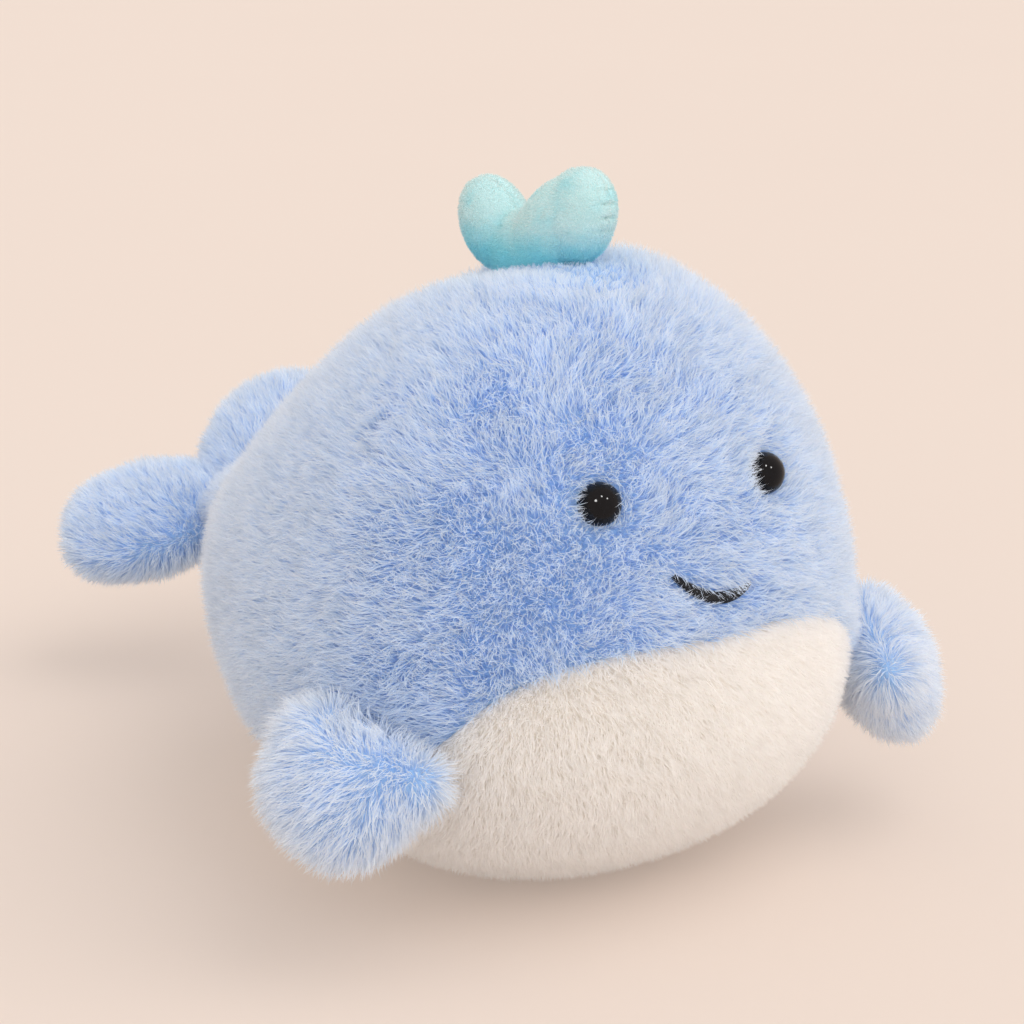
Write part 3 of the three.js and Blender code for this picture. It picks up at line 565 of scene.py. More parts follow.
def fused(name, forms, voxel, place, material, rounds=6, keep_out=None, dent=None):
    """One smooth skin round overlapping forms. dent shapes it in its own axes, keep_out in the model's."""
    starts = np.cumsum([0] + [len(points) for points, _ in forms])
    faces = [np.where(faces >= 0, faces + start, -1) for (_, faces), start in zip(forms, starts)]
    rough = mesh_piece(name + "_rough", np.concatenate([points for points, _ in forms]),
                       np.concatenate(faces), material)
    remesh = rough.modifiers.new("fuse", "REMESH")
    remesh.mode, remesh.voxel_size = "VOXEL", voxel * MM
    smooth = rough.modifiers.new("relax", "SMOOTH")
    smooth.iterations, smooth.factor = rounds, 0.5
    mesh = bpy.data.meshes.new_from_object(rough.evaluated_get(bpy.context.evaluated_depsgraph_get()))
    bpy.data.objects.remove(rough)
    mesh.name = name
    points = read(mesh.vertices, "co").astype(float)
    if dent is not None:
        points = dent(points / MM, read(mesh.vertices, "normal")) * MM
    mesh.vertices.foreach_set("co", points.astype(np.float32).ravel())
    mesh.transform(place)
    if keep_out is not None:
        points = keep_out(read(mesh.vertices, "co").astype(float) / MM) * MM
        mesh.vertices.foreach_set("co", points.astype(np.float32).ravel())
    mesh.materials.clear()
    mesh.materials.append(material)
    mesh.polygons.foreach_set("use_smooth", np.ones(len(mesh.polygons), bool))
    mesh.update()
    print(name, len(mesh.polygons), "faces")
    return add(name, mesh)


print("a ball has", len(ball((1, 1, 1), (0, 0, 0))[1]), "faces")

# %% [markdown]
# The flippers hang from a seam on each side, and lie against the body at rest. Their place and the
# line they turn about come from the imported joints. The part that would lie in the body is pushed
# out to its surface, both for the flipper at rest and for the flipper lifted all the way.

# %% Flippers
LIMB_DEPTH = 3.4  # mm from the tips of a limb's pile down to its backing
FLIPPER_LEAN = 25.0  # degrees that the blade leans back in its own plane
FLIPPER_HEADING, FLIPPER_TILT, FLIPPER_DROOP = (math.radians(angle) for angle in (30, 9, 60))
PUSH = 0.5  # mm that a point moves outward at a time
flipper_covers, flipper_places, flipper_flow, flipper_shaping = {}, {}, {}, {}


def turn_about(points, pivot, axis, degrees):
    """Points in mm turned about an axis."""
    turn = np.array(Matrix.Rotation(math.radians(degrees), 3, Vector(axis)))
    return (points - pivot) @ turn.T + pivot


def push_out(points, grow):
    """Points in mm, those inside the grown egg moved outward from its axis to its surface."""
    moved = points.copy()
    for _ in range(14):
        inside = inside_egg(moved, grow)
        if not inside.any():
            break
        away = moved[inside] * np.array([1.0, 0.0, 1.0]) - np.array([0.0, 0.0, WIDEST_HEIGHT + 6])
        moved[inside] += unit(away) * PUSH
    return moved


def flipper_forms(side, depth):
    """The flipper's broad leaning blade, the fullness of its front corner, and its rear shoulder."""
    reach, drop = (30.8, 0.0) if side < 0 else (33.0, 2.2)
    blade, faces = paddle(-5, reach, 18.3, 12, 0.85, -side * FLIPPER_LEAN, depth)
    return [(blade + [0, drop, 0], faces),
            ball((9.5 - depth, 9.5 - depth, 8.5 - depth), (side * 7.5, 8.5 + drop, 0)),
            ball((8.8 - depth, 9.2 - depth, 9.5 - depth), (-side * 15.5, 7.2 + drop, 0))]


def eased(share):
    """A share held between 0 and 1 that leaves both ends smoothly."""
    share = np.clip(share, 0, 1)
    return share * share * (3 - 2 * share)


def root_crease(side):
    """Thins the root where it goes under the body's pile, and leaves the shoulder behind it full."""
    def shape(points, outward):
        before_shoulder = eased((15.5 + side * points[:, 0]) / 7)
        points[:, 2] *= 1 - 0.78 * (1 - eased((points[:, 1] + 3) / 14)) * before_shoulder
        points[:, 1] += 4.2 * eased((8 - points[:, 1]) / 12) * before_shoulder
        points[:, 2] -= max(side, 0) * 0.10 * np.maximum(points[:, 1], 0)
        return points
    return shape


def clear_of_body(pivot, axis, lift):
    """Keeps a flipper out of the body, at rest and lifted all the way."""
    def shape(points):
        lifted = turn_about(push_out(points, 1.5 - LIMB_DEPTH), pivot, axis, lift)
        return turn_about(push_out(lifted, 1.5 - LIMB_DEPTH), pivot, axis, -lift)
    return shape


for label, side in SIDES.items():
    joint = joints[f"{label}_flipper_lift"]
    pivot, axis = joint_at[joint["name"]], np.array(joint["axis"])
    out = np.array([side * math.cos(FLIPPER_HEADING), -math.sin(FLIPPER_HEADING), 0])
    ahead = np.array([-side * math.cos(FLIPPER_TILT) * math.sin(FLIPPER_HEADING),
                      -math.cos(FLIPPER_TILT) * math.cos(FLIPPER_HEADING), -math.sin(FLIPPER_TILT)])
    down = np.cross(out, ahead)
    down = unit(down if down[2] < 0 else -down)
    along = out * math.cos(FLIPPER_DROOP) + down * math.sin(FLIPPER_DROOP)
    face = out * math.sin(FLIPPER_DROOP) - down * math.cos(FLIPPER_DROOP)
    flipper_places[label] = frame_of(np.cross(along, face), along, face, pivot)
    turn = math.radians(-side * FLIPPER_LEAN)
    flipper_flow[label] = np.cross(along, face) * math.sin(turn) + along * math.cos(turn)
    flipper_shaping[label] = {"keep_out": clear_of_body(pivot, axis, joint["range_deg"][1]),
                              "dent": root_crease(side)}
    flipper_covers[label] = fused(f"{label}_flipper_cover", flipper_forms(side, LIMB_DEPTH), 0.9,
                                  flipper_places[label], blue_backing, **flipper_shaping[label])

# %% [markdown]
# The tail's stock is a flattened tube that twists toward the flukes. The flukes are two lobes cut
# in one piece, with a notch between them.

# %% Tail and flukes
TAIL_LENGTH, TAIL_DROP, FLUKE_ROLL, FLUKE_PITCH, FLUKE_SPLAY = 46.0, 12.5, 26.0, 12.0, 53
TAIL_ROOT, TAIL_TIP = (21 * 0.9, 12.5 * 0.9), (13.5, 9.3)  # half width and half thickness


def tail_stock(depth):
    """The stock from inside the rump to inside the flukes, drawn in by a depth."""
    u, v = pole_to_pole(44, 44)
    share = (1 - np.cos(np.pi * u)) / 2
    start, end = depth - 8, TAIL_LENGTH + 9.3 - depth
    along = start + (end - start) * share
    blunt = np.maximum(1 - np.abs(2 * share - 1) ** 6, 0) ** (1 / 6)
    reach = np.maximum(along, 0) / TAIL_LENGTH
    half_width, half_thick = (root + (tip - root) * reach - depth for root, tip in zip(TAIL_ROOT, TAIL_TIP))
    x, z = half_width * blunt * np.sin(2 * np.pi * v), half_thick * blunt * np.cos(2 * np.pi * v)
    twist = -np.radians(FLUKE_ROLL) * reach
    return skin(x * np.cos(twist) + z * np.sin(twist), along,
                z * np.cos(twist) - x * np.sin(twist) - TAIL_DROP * reach ** 2)


def fluke_lobes(depth):
    """Two paddles that splay from one root, drawn in by a depth."""
    return [paddle(0, 50, 21, 12, 0.7, side * FLUKE_SPLAY, depth) for side in (-1, 1)]


tail_place = frame_of((1, 0, 0), (0, 1, 0), (0, 0, 1), joint_at["tail_pitch"])
fluke_root = joint_at["fluke_flap"]
fluke_place = (Matrix.Translation(Vector(fluke_root * MM))
               @ Matrix.Rotation(math.radians(FLUKE_PITCH), 4, "X")
               @ Matrix.Rotation(math.radians(-FLUKE_ROLL), 4, "Y"))
tail_cover = fused("tail_cover", [tail_stock(LIMB_DEPTH)], 1.0, tail_place, blue_backing)
fluke_cover = fused("fluke_cover", fluke_lobes(LIMB_DEPTH), 1.0, fluke_place, blue_backing)

# %% [markdown]
# The spout is a plump heart of short velvety pile, sewn along its outline. Several balls fuse into
# the heart. The seam is a groove pressed in all round its edge, and where the thread is drawn tight
# the cloth beside it is gathered into short folds.

# %% Spout
SPOUT_DEPTH, SPOUT_FOOT = 0.7, 5.0  # mm from the tips of the pile to the backing, and down to the foot
SPOUT_BEHIND, SPOUT_TURN = 13, math.radians(15)  # mm behind the widest ring, turned from fore and aft
FOLDS, GROOVE, FOLD = 38, (1.1, 0.6), (4.2, 0.75)  # count of the folds, then half width and depth in mm
station = np.array([math.acos(-SPOUT_BEHIND / RUMP) / math.pi])
spout_up = egg_outward(station, np.array([0.0]))[0]
spout_aside = unit(np.cross([math.sin(SPOUT_TURN), -math.cos(SPOUT_TURN), 0], spout_up))
spout_place = frame_of(np.cross(spout_up, spout_aside), spout_up, spout_aside, joint_at["spout_tilt"])


def heart_forms(depth):
    """The heart's two leaning lobes, the plump middle where they meet, and a foot in the crown's pile."""
    return [
        ball((11.6, 9.5 - depth, 7.6 - depth), (-1.6, -0.3, 0)),
        ball((9.2 - depth, 11.8 - depth, 7.8 - depth), (11.5, 5.0, 0.4), -34),
        ball((8.6 - depth, 12.0 - depth, 7.6 - depth), (-12.2, 6.0, -0.8), 22),
        ball((8.8 - depth, 15.0 - depth, 7.6 - depth), (5.0, 2.6, 1.5), -47),
        ball((7.4 - depth, 12.0 - depth, 7.0 - depth), (-8.5, 2.2, -1.2), 34),
        ball((10.0 - depth, 6.5, 6.2 - depth), (-1.4, -SPOUT_FOOT, 0.3)),
    ]


def puckered_seam(points, outward):
    """The groove of the seam in the edge, and short folds where its thread gathers the cloth."""
    turn = np.arctan2(points[:, 1] - 4, points[:, 0])
    uneven = 0.6 + 0.4 * np.sin(7 * turn + 1)
    gathered = np.maximum(np.cos(FOLDS * turn + 1.5 * np.sin(5 * turn)), 0) ** 5 * uneven
    groove = np.maximum(1 - (points[:, 2] / GROOVE[0]) ** 2, 0) ** 2 * GROOVE[1]
    folds = np.maximum(1 - (points[:, 2] / FOLD[0]) ** 2, 0) * FOLD[1] * gathered
    return points - outward * ((groove + folds) * (1 - outward[:, 2] ** 2))[:, None]


spout_cover = fused("spout_cover", heart_forms(SPOUT_DEPTH), 0.45, spout_place, aqua_backing, rounds=12,
                    dent=puckered_seam)

# %% [markdown]
# Which way does pile stand? A fibre leaves the backing almost upright, and the nap, the stroke of
# a hand and its neighbours lean it over. So each fibre starts along the surface's outward
# direction. A nap direction, a slow swirl and a stray of its own are added, and the tip is drawn
# toward the middle of its tuft, which makes the wisps that one sees in long pile.

# %% Sampling a surface
rng = np.random.default_rng(7)


def roots_on(piece, per_square_mm):
    """Evenly spread root points on a piece, with the outward direction at each, in mm."""
    mesh = piece.data
    mesh.calc_loop_triangles()
    points = read(mesh.vertices, "co").astype(float) / MM
    normals = read(mesh.vertices, "normal").astype(float)
    corners = np.empty(len(mesh.loop_triangles) * 3, np.int32)
    mesh.loop_triangles.foreach_get("vertices", corners)
    corners = corners.reshape(-1, 3)
    a, b, c = (points[corners[:, k]] for k in range(3))
    area = np.linalg.norm(np.cross(b - a, c - a), axis=1) / 2
    count = int(area.sum() * per_square_mm)
    edges = np.cumsum(area) / area.sum()
    which = np.searchsorted(edges, (np.arange(count) + rng.random(count)) / count).clip(0, len(area) - 1)
    s, t = rng.random(count), rng.random(count)
    over = s + t > 1
    s, t = np.where(over, 1 - s, s)[:, None], np.where(over, 1 - t, t)[:, None]

    def within(values):
        return (values[corners[which, 0]] * (1 - s - t) + values[corners[which, 1]] * s
                + values[corners[which, 2]] * t)

    return within(points), unit(within(normals))


def swirl(points, size, seed):
    """A smooth field of directions that changes over about so many millimetres."""
    waves = np.random.default_rng(seed)
    field = np.zeros_like(points)
    for _ in range(5):
        direction = unit(waves.normal(size=3))
        phase = points @ direction * (2 * np.pi / (size * waves.uniform(0.7, 1.6))) + waves.uniform(0, 6.28)
        field += np.sin(phase)[:, None] * unit(waves.normal(size=3))
    return field / 2.2


def tufts(points, size, seed):
    """For each point the middle of the nearest tuft, and a number between 0 and 1 of that tuft.

    Space is cut into cells with one tuft in each. Whole-number arithmetic scrambles a cell's three
    counts into a key, and the key's bits give the tuft's place in the cell and its number."""
    cell = np.floor(points / size).astype(np.int64)
    best = np.full(len(points), np.inf)
    middle, number = np.zeros_like(points), np.zeros(len(points))
    for step in np.ndindex(3, 3, 3):
        near = cell + np.array(step) - 1
        key = near[:, 0] * 73856093 ^ near[:, 1] * 19349663 ^ near[:, 2] * 83492791 ^ seed * 2654435761
        key = (key * 6364136223846793005 + 1442695040888963407) & 0x7FFFFFFFFFFFFFFF
        jitter = np.stack([((key >> shift) & 1023) / 1023 for shift in (16, 27, 38)], -1)
        spot = (near + jitter) * size
        distance = np.sum((spot - points) ** 2, 1)
        closer = distance < best
        best = np.where(closer, distance, best)
        middle = np.where(closer[:, None], spot, middle)
        number = np.where(closer, ((key >> 48) & 1023) / 1023, number)
    return middle, number


print("a field of swirls leans one point by", np.round(swirl(np.zeros((1, 3)), 17, 3), 2).tolist())

# %% [markdown]
# Growing the pile. Every fibre is two flat blades and a point, seven corners in all. Its corners
# also carry the measures that the colour group reads, and the map that a bake would use gives every
# fibre a small tile of its own.

# %% Growing pile
FEW, SLIM = ((1.0, 1.0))
NEAR_FLOOR = 0.15  # mm above the floor, where tips come to lie
ALONG = [0, 0, 1 / 3, 1 / 3, 2 / 3, 2 / 3, 1]  # how far along the fibre each of its corners is
TILE = np.array([[0.1, 0.1], [0.9, 0.1], [0.1, 0.37], [0.9, 0.37], [0.15, 0.64], [0.85, 0.64], [0.5, 0.9]])


def tangent(vectors, normals):
    """The part of each vector that lies along the surface."""
    return vectors - normals * np.sum(vectors * normals, -1, keepdims=True)


def store(piece, title, vectors):
    """Keeps a vector at each corner of the mesh for a shader to read."""
    attribute = piece.data.attributes.new(title, "FLOAT_VECTOR", "POINT")
    attribute.data.foreach_set("vector", vectors.astype(np.float32).ravel())


def grow(name, roots, normals, material, length, nap, seed, stray=0.15, sway=0.30, tuft_size=2.5,
         gather=0.50, width=0.21, curl=0.68):
    """A piece of pile. length, nap and sway may differ from root to root."""
    count = len(roots)
    sway = np.broadcast_to(sway, count)[:, None]
    length = length * rng.uniform(0.78, 1.12, count)
    middle, number = tufts(roots, tuft_size, seed)
    lean = tangent(nap + sway * swirl(roots, 17, seed) + 0.7 * sway * swirl(roots, 6, seed + 9)
                   + stray * rng.normal(size=(count, 3)), normals)
    bend = tangent(rng.normal(size=(count, 3)), normals) * 0.15
    pull = tangent(middle - roots, normals)
    steps = [roots]
    for k in range(3):
        heading = unit(normals + lean * (0.55 + curl * k) + bend * k)
        steps.append(steps[-1] + heading * (length / 3)[:, None])
    for k in (1, 2, 3):
        steps[k] = steps[k] + pull * gather * (k / 3) ** 1.4
        low = steps[k][:, 2] < NEAR_FLOOR
        steps[k][low, 2] = NEAR_FLOOR + 0.15 * rng.random(int(low.sum()))
    heading = unit(steps[3] - steps[0])
    side = unit(np.cross(heading, rng.normal(size=(count, 3))))
    outward = np.sum(np.cross(side, heading) * normals, -1, keepdims=True)
    side = np.where(outward < 0, -side, side)
    widths = np.array([0.9, 1.0, 0.72])[:, None] * (width * SLIM * rng.uniform(0.75, 1.25, count))[None, :]
    corners = []
    for k in range(3):
        half = side * (widths[k] / 2)[:, None]
        corners += [steps[k] - half, steps[k] + half]
    corners.append(steps[3])
    first = (np.arange(count) * 7)[:, None]
    blades = (first[:, None, :] + np.array([[0, 1, 3, 2], [2, 3, 5, 4]])[None]).reshape(-1, 4)
    faces = np.concatenate([blades, np.column_stack([first + 4, first + 5, first + 6, np.full(count, -1)])])
    piece = mesh_piece(name, np.stack(corners, 1).reshape(-1, 3), faces, material, sound=True)
    fibre = np.repeat(rng.random(count), 7)
    store(piece, "fibre", np.stack([np.tile(ALONG, count), fibre, np.repeat(number, 7)], -1))
    slant = unit(normals + 0.35 * tangent(heading, normals) + 0.18 * rng.normal(size=(count, 3)))
    store(piece, "facing", np.repeat(slant, 7, axis=0))
    across = math.ceil(math.sqrt(count))
    origin = np.stack([np.arange(count) % across, np.arange(count) // across], -1) * (1 / across)
    spots = (origin[:, None, :] + TILE[None] * (1 / across)).reshape(-1, 2)
    layer = piece.data.uv_layers.new(name="OFBake")
    layer.data.foreach_set("uv", spots[faces[faces >= 0]].astype(np.float32).ravel())
    print(name, count, "fibres")
    return piece


print("each fibre has", len(ALONG), "corners")

# %% [markdown]
# The face comes before the pile, because the pile leaves room for it. The eyes stand at the same
# place on the egg on both sides. The smile is a line across the front of the egg.

# %% Where the face is
EYE_AHEAD, EYE_ASIDE = 0.789, 0.328  # shares of the nose's reach and of the half width
EYE_RADIUS, EYE_HEIGHT, EYE_RIM, EYE_SUNK = 4.5, 5.7, 1.3, 4.7
SMILE_HALF, SMILE_ASIDE, SMILE_HEIGHT, SMILE_RISE, SMILE_LEAN, SMILE_SUNK = 10.0, 1.1, 72.4, 3.5, 2.4, 2.2


def eye_seat(side):
    """Point at the tips of the pile over an eye, and the outward direction there."""
    u = np.array([math.acos(EYE_AHEAD) / math.pi])
    turn = side * halved(np.array([0.0]), np.array([0.25]),
                         lambda v: egg(u, v)[:, 0] <= EYE_ASIDE * HALF_WIDTH, 40)
    return egg(u, turn)[0], egg_outward(u, turn)[0]


def smile_line(s):
    """The middle of the smile, s from -1 to 1 across it, with the outward directions there."""
    x = SMILE_ASIDE + SMILE_HALF * s
    lift = SMILE_HEIGHT + SMILE_RISE * s ** 2 - SMILE_LEAN * s - WIDEST_HEIGHT
    height, power = section(lift, 0.0)
    ring = (np.abs(x / HALF_WIDTH) ** power + np.abs(lift / height) ** power) ** (1 / power)
    u = np.arcsin(np.clip(ring, 0, 1)) / np.pi
    v = np.arctan2(x / HALF_WIDTH, lift / height) / (2 * np.pi)
    return egg(u, v), egg_outward(u, v)


eye_seats = {label: eye_seat(side) for label, side in SIDES.items()}
smile_points, smile_outward = smile_line(np.linspace(-1, 1, 60))
print("eyes at", [np.round(seat, 1).tolist() for seat, _ in eye_seats.values()])

# %% [markdown]
# The body's pile leaves the eyes and the smile free, and it is parted round the spout. Near each
# of them it is clipped shorter, as it is on the real toy, where a machine's foot or a finger has
# pressed it aside. It leans toward an eye just enough for its tips to lie over the rim.

# %% Grooming
# For each eye: how far the pile leans over its rim, how much more toward the whale's left and how
# much more on both sides, and then the same three for how much the pile is shortened.
EYE_GROOMING = {"right": ((0.12, 0.08, 0.30), (0.33, -0.12, -0.16)),
                "left": ((0.05, 0.40, 0.22), (0.44, -0.30, -0.10))}
EYE_MARGIN, EYE_SPREAD, EYE_REACH = 0.15, 3.9, 3.2  # mm round the eye: bare, groomed, and easing off
SMILE_BARE, SMILE_SPREAD, SMILE_REACH = 0.75, 3.2, 2.0
SMILE_CUT, SMILE_NAP = (0.39, 0.52), (-0.30, -0.06)  # shortened and pressed down, above and below it
SPOUT_BARE = (14.5, 7.6)  # half length and half width of the bare patch under the spout
SPOUT_CUT = 0.80
from_spout = np.array(spout_place.inverted())


def groomed(roots, nap):
    """Which roots stay, the share of their length, how they lean, and how calm they are."""
    keep = np.ones(len(roots), bool)
    length, calm = np.ones(len(roots)), np.ones(len(roots))
    for label, (seat, outward) in eye_seats.items():
        offset = roots - seat
        from_axis = offset - (offset @ outward)[:, None] * outward
        distance = np.linalg.norm(from_axis, axis=1)
        front = (roots @ outward) > (seat @ outward) - 12
        keep &= ~(front & (distance < EYE_RADIUS + EYE_MARGIN))
        near = np.where(front, np.clip((EYE_RADIUS + EYE_SPREAD - distance) / EYE_REACH, 0, 1), 0)
        aside = from_axis[:, 0] / np.maximum(distance, 1e-6)
        lean, cut = (even + left * aside + sides * aside ** 2 for even, left, sides in EYE_GROOMING[label])
        length *= 1 - cut * near
        nap = nap * (1 - near[:, None]) - unit(from_axis) * (lean * near)[:, None]
        calm *= 1 - 0.8 * near
    to_smile = np.linalg.norm(roots[:, None, :] - (smile_points - smile_outward * ROOT_DEPTH)[None], axis=2)
    distance, nearest = to_smile.min(1), to_smile.argmin(1)
    above = roots[:, 2] > smile_points[nearest, 2]
    keep &= distance > SMILE_BARE
    near = np.clip((SMILE_SPREAD - distance) / SMILE_REACH, 0, 1)
    length *= 1 - np.where(above, *SMILE_CUT) * near
    calm *= 1 - 0.6 * near
    nap = nap + np.stack([0 * near, 0 * near, np.where(above, *SMILE_NAP) * near], -1)
    own = (roots * MM) @ from_spout[:3, :3].T / MM + from_spout[:3, 3] / MM
    ellipse = np.sqrt((own[:, 0] / SPOUT_BARE[0]) ** 2 + (own[:, 2] / SPOUT_BARE[1]) ** 2)
    top = own[:, 1] > -14
    keep &= ~(top & (ellipse < 1))
    open_side = eased(own[:, 2] / 16 + 0.5)
    near = np.where(top, eased((1.8 + 1.3 * open_side - ellipse) / (0.9 + 0.7 * open_side)), 0)
    length *= 1 - SPOUT_CUT * near
    return keep, length, nap, calm


print("pile is groomed round", len(eye_seats), "eyes, the smile and the spout")

# %% [markdown]
# The sides carry long blue pile that strokes back from the nose. The cream pile of the belly is
# shorter, denser and calmer, and it strokes down toward the floor until the body rests on it. Each
# cover's pile is split from front to back, which keeps every piece at a size that exports whole.

# %% Body pile
BLUE_PER_MM2, CREAM_PER_MM2 = 5.6 * FEW, 6.6 * FEW
BLUE_LENGTH, CREAM_LENGTH = 6.5, 4.9  # mm
piles = {}


def straight(*lean):
    """Nap that leans the same way at every root."""
    return lambda roots: np.array(lean)


def belly_nap(roots):
    """Nap that strokes back and down, and less where the belly nears the floor."""
    return np.array([0.0, 0.20, -0.24]) * np.clip((roots[:, 2] - 14) / 24, 0.15, 1)[:, None]


def body_pile(label, parts, per_mm2, material, longest, nap_of, seed, calm_sway=0.0, **look):
    """Groomed pile on one of the body's covers, in parts from front to back."""
    roots, normals = roots_on(body_covers[label], per_mm2)
    keep, length, nap, calm = groomed(roots, nap_of(roots))
    roots, normals, length, nap, calm = (values[keep] for values in (roots, normals, length, nap, calm))
    order = np.argsort(roots[:, 1], kind="stable")
    for part, chosen in zip(parts, np.array_split(order, len(parts))):
        name = f"{label}_pile_{part}"
        sway = calm_sway or 0.30 * calm[chosen]
        piles[name] = grow(name, roots[chosen], normals[chosen], material, longest * length[chosen],
                           nap[chosen], seed, sway=sway, **look)


for label in SIDES:
    body_pile(f"{label}_side", ("front", "brow", "middle", "rear"), BLUE_PER_MM2, blue_fibre, BLUE_LENGTH,
              straight(0.0, 0.20, 0.03), 3)
body_pile("belly", ("front", "middle", "hind", "rear"), CREAM_PER_MM2, cream_fibre, CREAM_LENGTH,
          belly_nap, 5, calm_sway=0.18, stray=0.17, tuft_size=1.7, gather=0.18, width=0.235)

# %% [markdown]
# On the limbs the pile radiates from the root to the edge, and it is a little shorter. Fibres that
# would start inside the body are left out, for they have no cloth to stand on there.

# %% Limb pile
LIMB_PER_MM2 = 5.2 * FEW
SPOUT_PER_MM2 = 13.5 * 1.0


def radiating(origin, along, share):
    """Nap that leans away from a limb's root, along the limb and fanning toward its edge."""
    return lambda roots: unit(roots - origin) * share * 0.6 + along * share * 0.8


def limb_pile(name, cover, per_mm2, material, length, nap_of, seed, bare_below=None, **look):
    """Pile on a limb's cover, left off where the cover lies so far below the tips of the body's pile."""
    roots, normals = roots_on(cover, per_mm2)
    if bare_below is not None:
        keep = ~inside_egg(roots, -bare_below)
        roots, normals = roots[keep], normals[keep]
    piles[name] = grow(name, roots, normals, material, length, nap_of(roots), seed, **look)


# The flippers take the paler blue pile, painted lighter for the light that they catch.
for label in SIDES:
    limb_pile(f"{label}_flipper_pile", flipper_covers[label], LIMB_PER_MM2, lit_blue_fibre, 5.8,
              radiating(joint_at[f"{label}_flipper_lift"], flipper_flow[label], 0.42), 11,
              bare_below=LIMB_DEPTH - 0.6, sway=0.26, tuft_size=2.4)
limb_pile("tail_pile", tail_cover, LIMB_PER_MM2, blue_fibre, 5.4, straight(0, 0.3, 0.0), 13,
          bare_below=ROOT_DEPTH - 0.5)
limb_pile("fluke_pile", fluke_cover, LIMB_PER_MM2, blue_fibre, 5.4,
          radiating(fluke_root, np.array([0, 1.0, 0.2]), 0.36), 17)
limb_pile("spout_pile", spout_cover, SPOUT_PER_MM2, aqua_fibre, 0.72, straight(0, 0, 0), 19,
          stray=0.28, sway=0.8, tuft_size=0.9, gather=0.2, width=0.12)

# %% [markdown]
# The eyes, the thread and the washers have no pile, but none of them is quite even. Each has a fine
# mottling in its colour and its gloss, and a slight swell in its surface. One group serves all
# three, at a different fineness for each.

# %% Mottled finish group
mottled_group, given, result = new_group(
    "Mottled finish",
    {"Dark": (0.0, 0.0, 0.0, 1), "Light": (0.1, 0.1, 0.1, 1), "Grain per metre": 900.0, "Grain detail": 4.0,
     "Swell per metre": 900.0, "Swell detail": 4.0, "Least roughness": 0.2, "Added roughness": 0.1},
    {"Colour": COLOUR, "Roughness": NUMBER, "Height": NUMBER})
grain = noise(mottled_group, (-500, 100), given["Grain per metre"], given["Grain detail"])
feed(mottled_group, result, {
    "Colour": blend(mottled_group, (-100, 200), grain, given["Dark"], given["Light"]),
    "Roughness": math_node(mottled_group, "MULTIPLY_ADD", (-100, 0), grain, given["Added roughness"],
                           given["Least roughness"]),
    "Height": noise(mottled_group, (-500, -200), given["Swell per metre"], given["Swell detail"])})


def mottled(name, dark, light, grain, swell, roughness, relief, **shader_values):
    """grain and swell are each a fineness and a detail, roughness is the least and what the grain
    adds, and relief is the depth of the swell in metres."""
    values = {"Dark": (*dark, 1), "Light": (*light, 1),
              "Grain per metre": grain[0], "Grain detail": grain[1],
              "Swell per metre": swell[0], "Swell detail": swell[1],
              "Least roughness": roughness[0], "Added roughness": roughness[1]}
    return surfaced(name, mottled_group, values, relief, **shader_values)


print("group", mottled_group.name, len(mottled_group.nodes), "nodes")

# %% [markdown]
# A safety eye is moulded in one piece: a polished dome with a short straight rim, on a shank that
# goes through the cloth. A lathe outline with a bevelled rim gives its highlight a clean edge.

# %% Eyes
black_eye = mottled("polished_black", (0.003, 0.003, 0.004), (0.007, 0.007, 0.009), (900, 5), (260, 2),
                    (0.04, 0.05), 0.00003, Specular_IOR_Level=0.18)
SHANK = [(0, -6.6), (1.2, -6.6), (1.5, -6.2), (1.5, -0.25), (1.9, 0)]  # radius and height, from its end
BEVEL = [(EYE_RADIUS - 0.15, 0), (EYE_RADIUS - 0.02, 0.08), (EYE_RADIUS, 0.2), (EYE_RADIUS, EYE_RIM)]
DOME = [(EYE_RADIUS * math.cos(t), EYE_RIM + (EYE_HEIGHT - EYE_RIM) * math.sin(t))
        for t in np.linspace(0.04, math.pi / 2, 30)]
radius, height = (np.array(column)[:, None] for column in zip(*SHANK, *BEVEL, *DOME))
turn = 2 * np.pi * once_round(72)
eye_points, eye_faces = skin(radius * np.cos(turn), radius * np.sin(turn), height)
eye_pieces = {}
for label, (seat, outward) in eye_seats.items():
    across = unit(np.cross([0, 0, 1], outward))
    eye_pieces[label] = mesh_piece(f"{label}_eye_dome", eye_points, eye_faces, black_eye)
    eye_pieces[label].data.transform(
        frame_of(across, np.cross(outward, across), outward, seat - outward * EYE_SUNK))
    print(f"{label}_eye_dome", len(eye_faces), "faces")

# %% [markdown]
# The smile is a satin stitch: threads laid side by side across the line, all at the same slant.
# Each thread here is a small bent tube of its own, and the row tapers toward the corners.

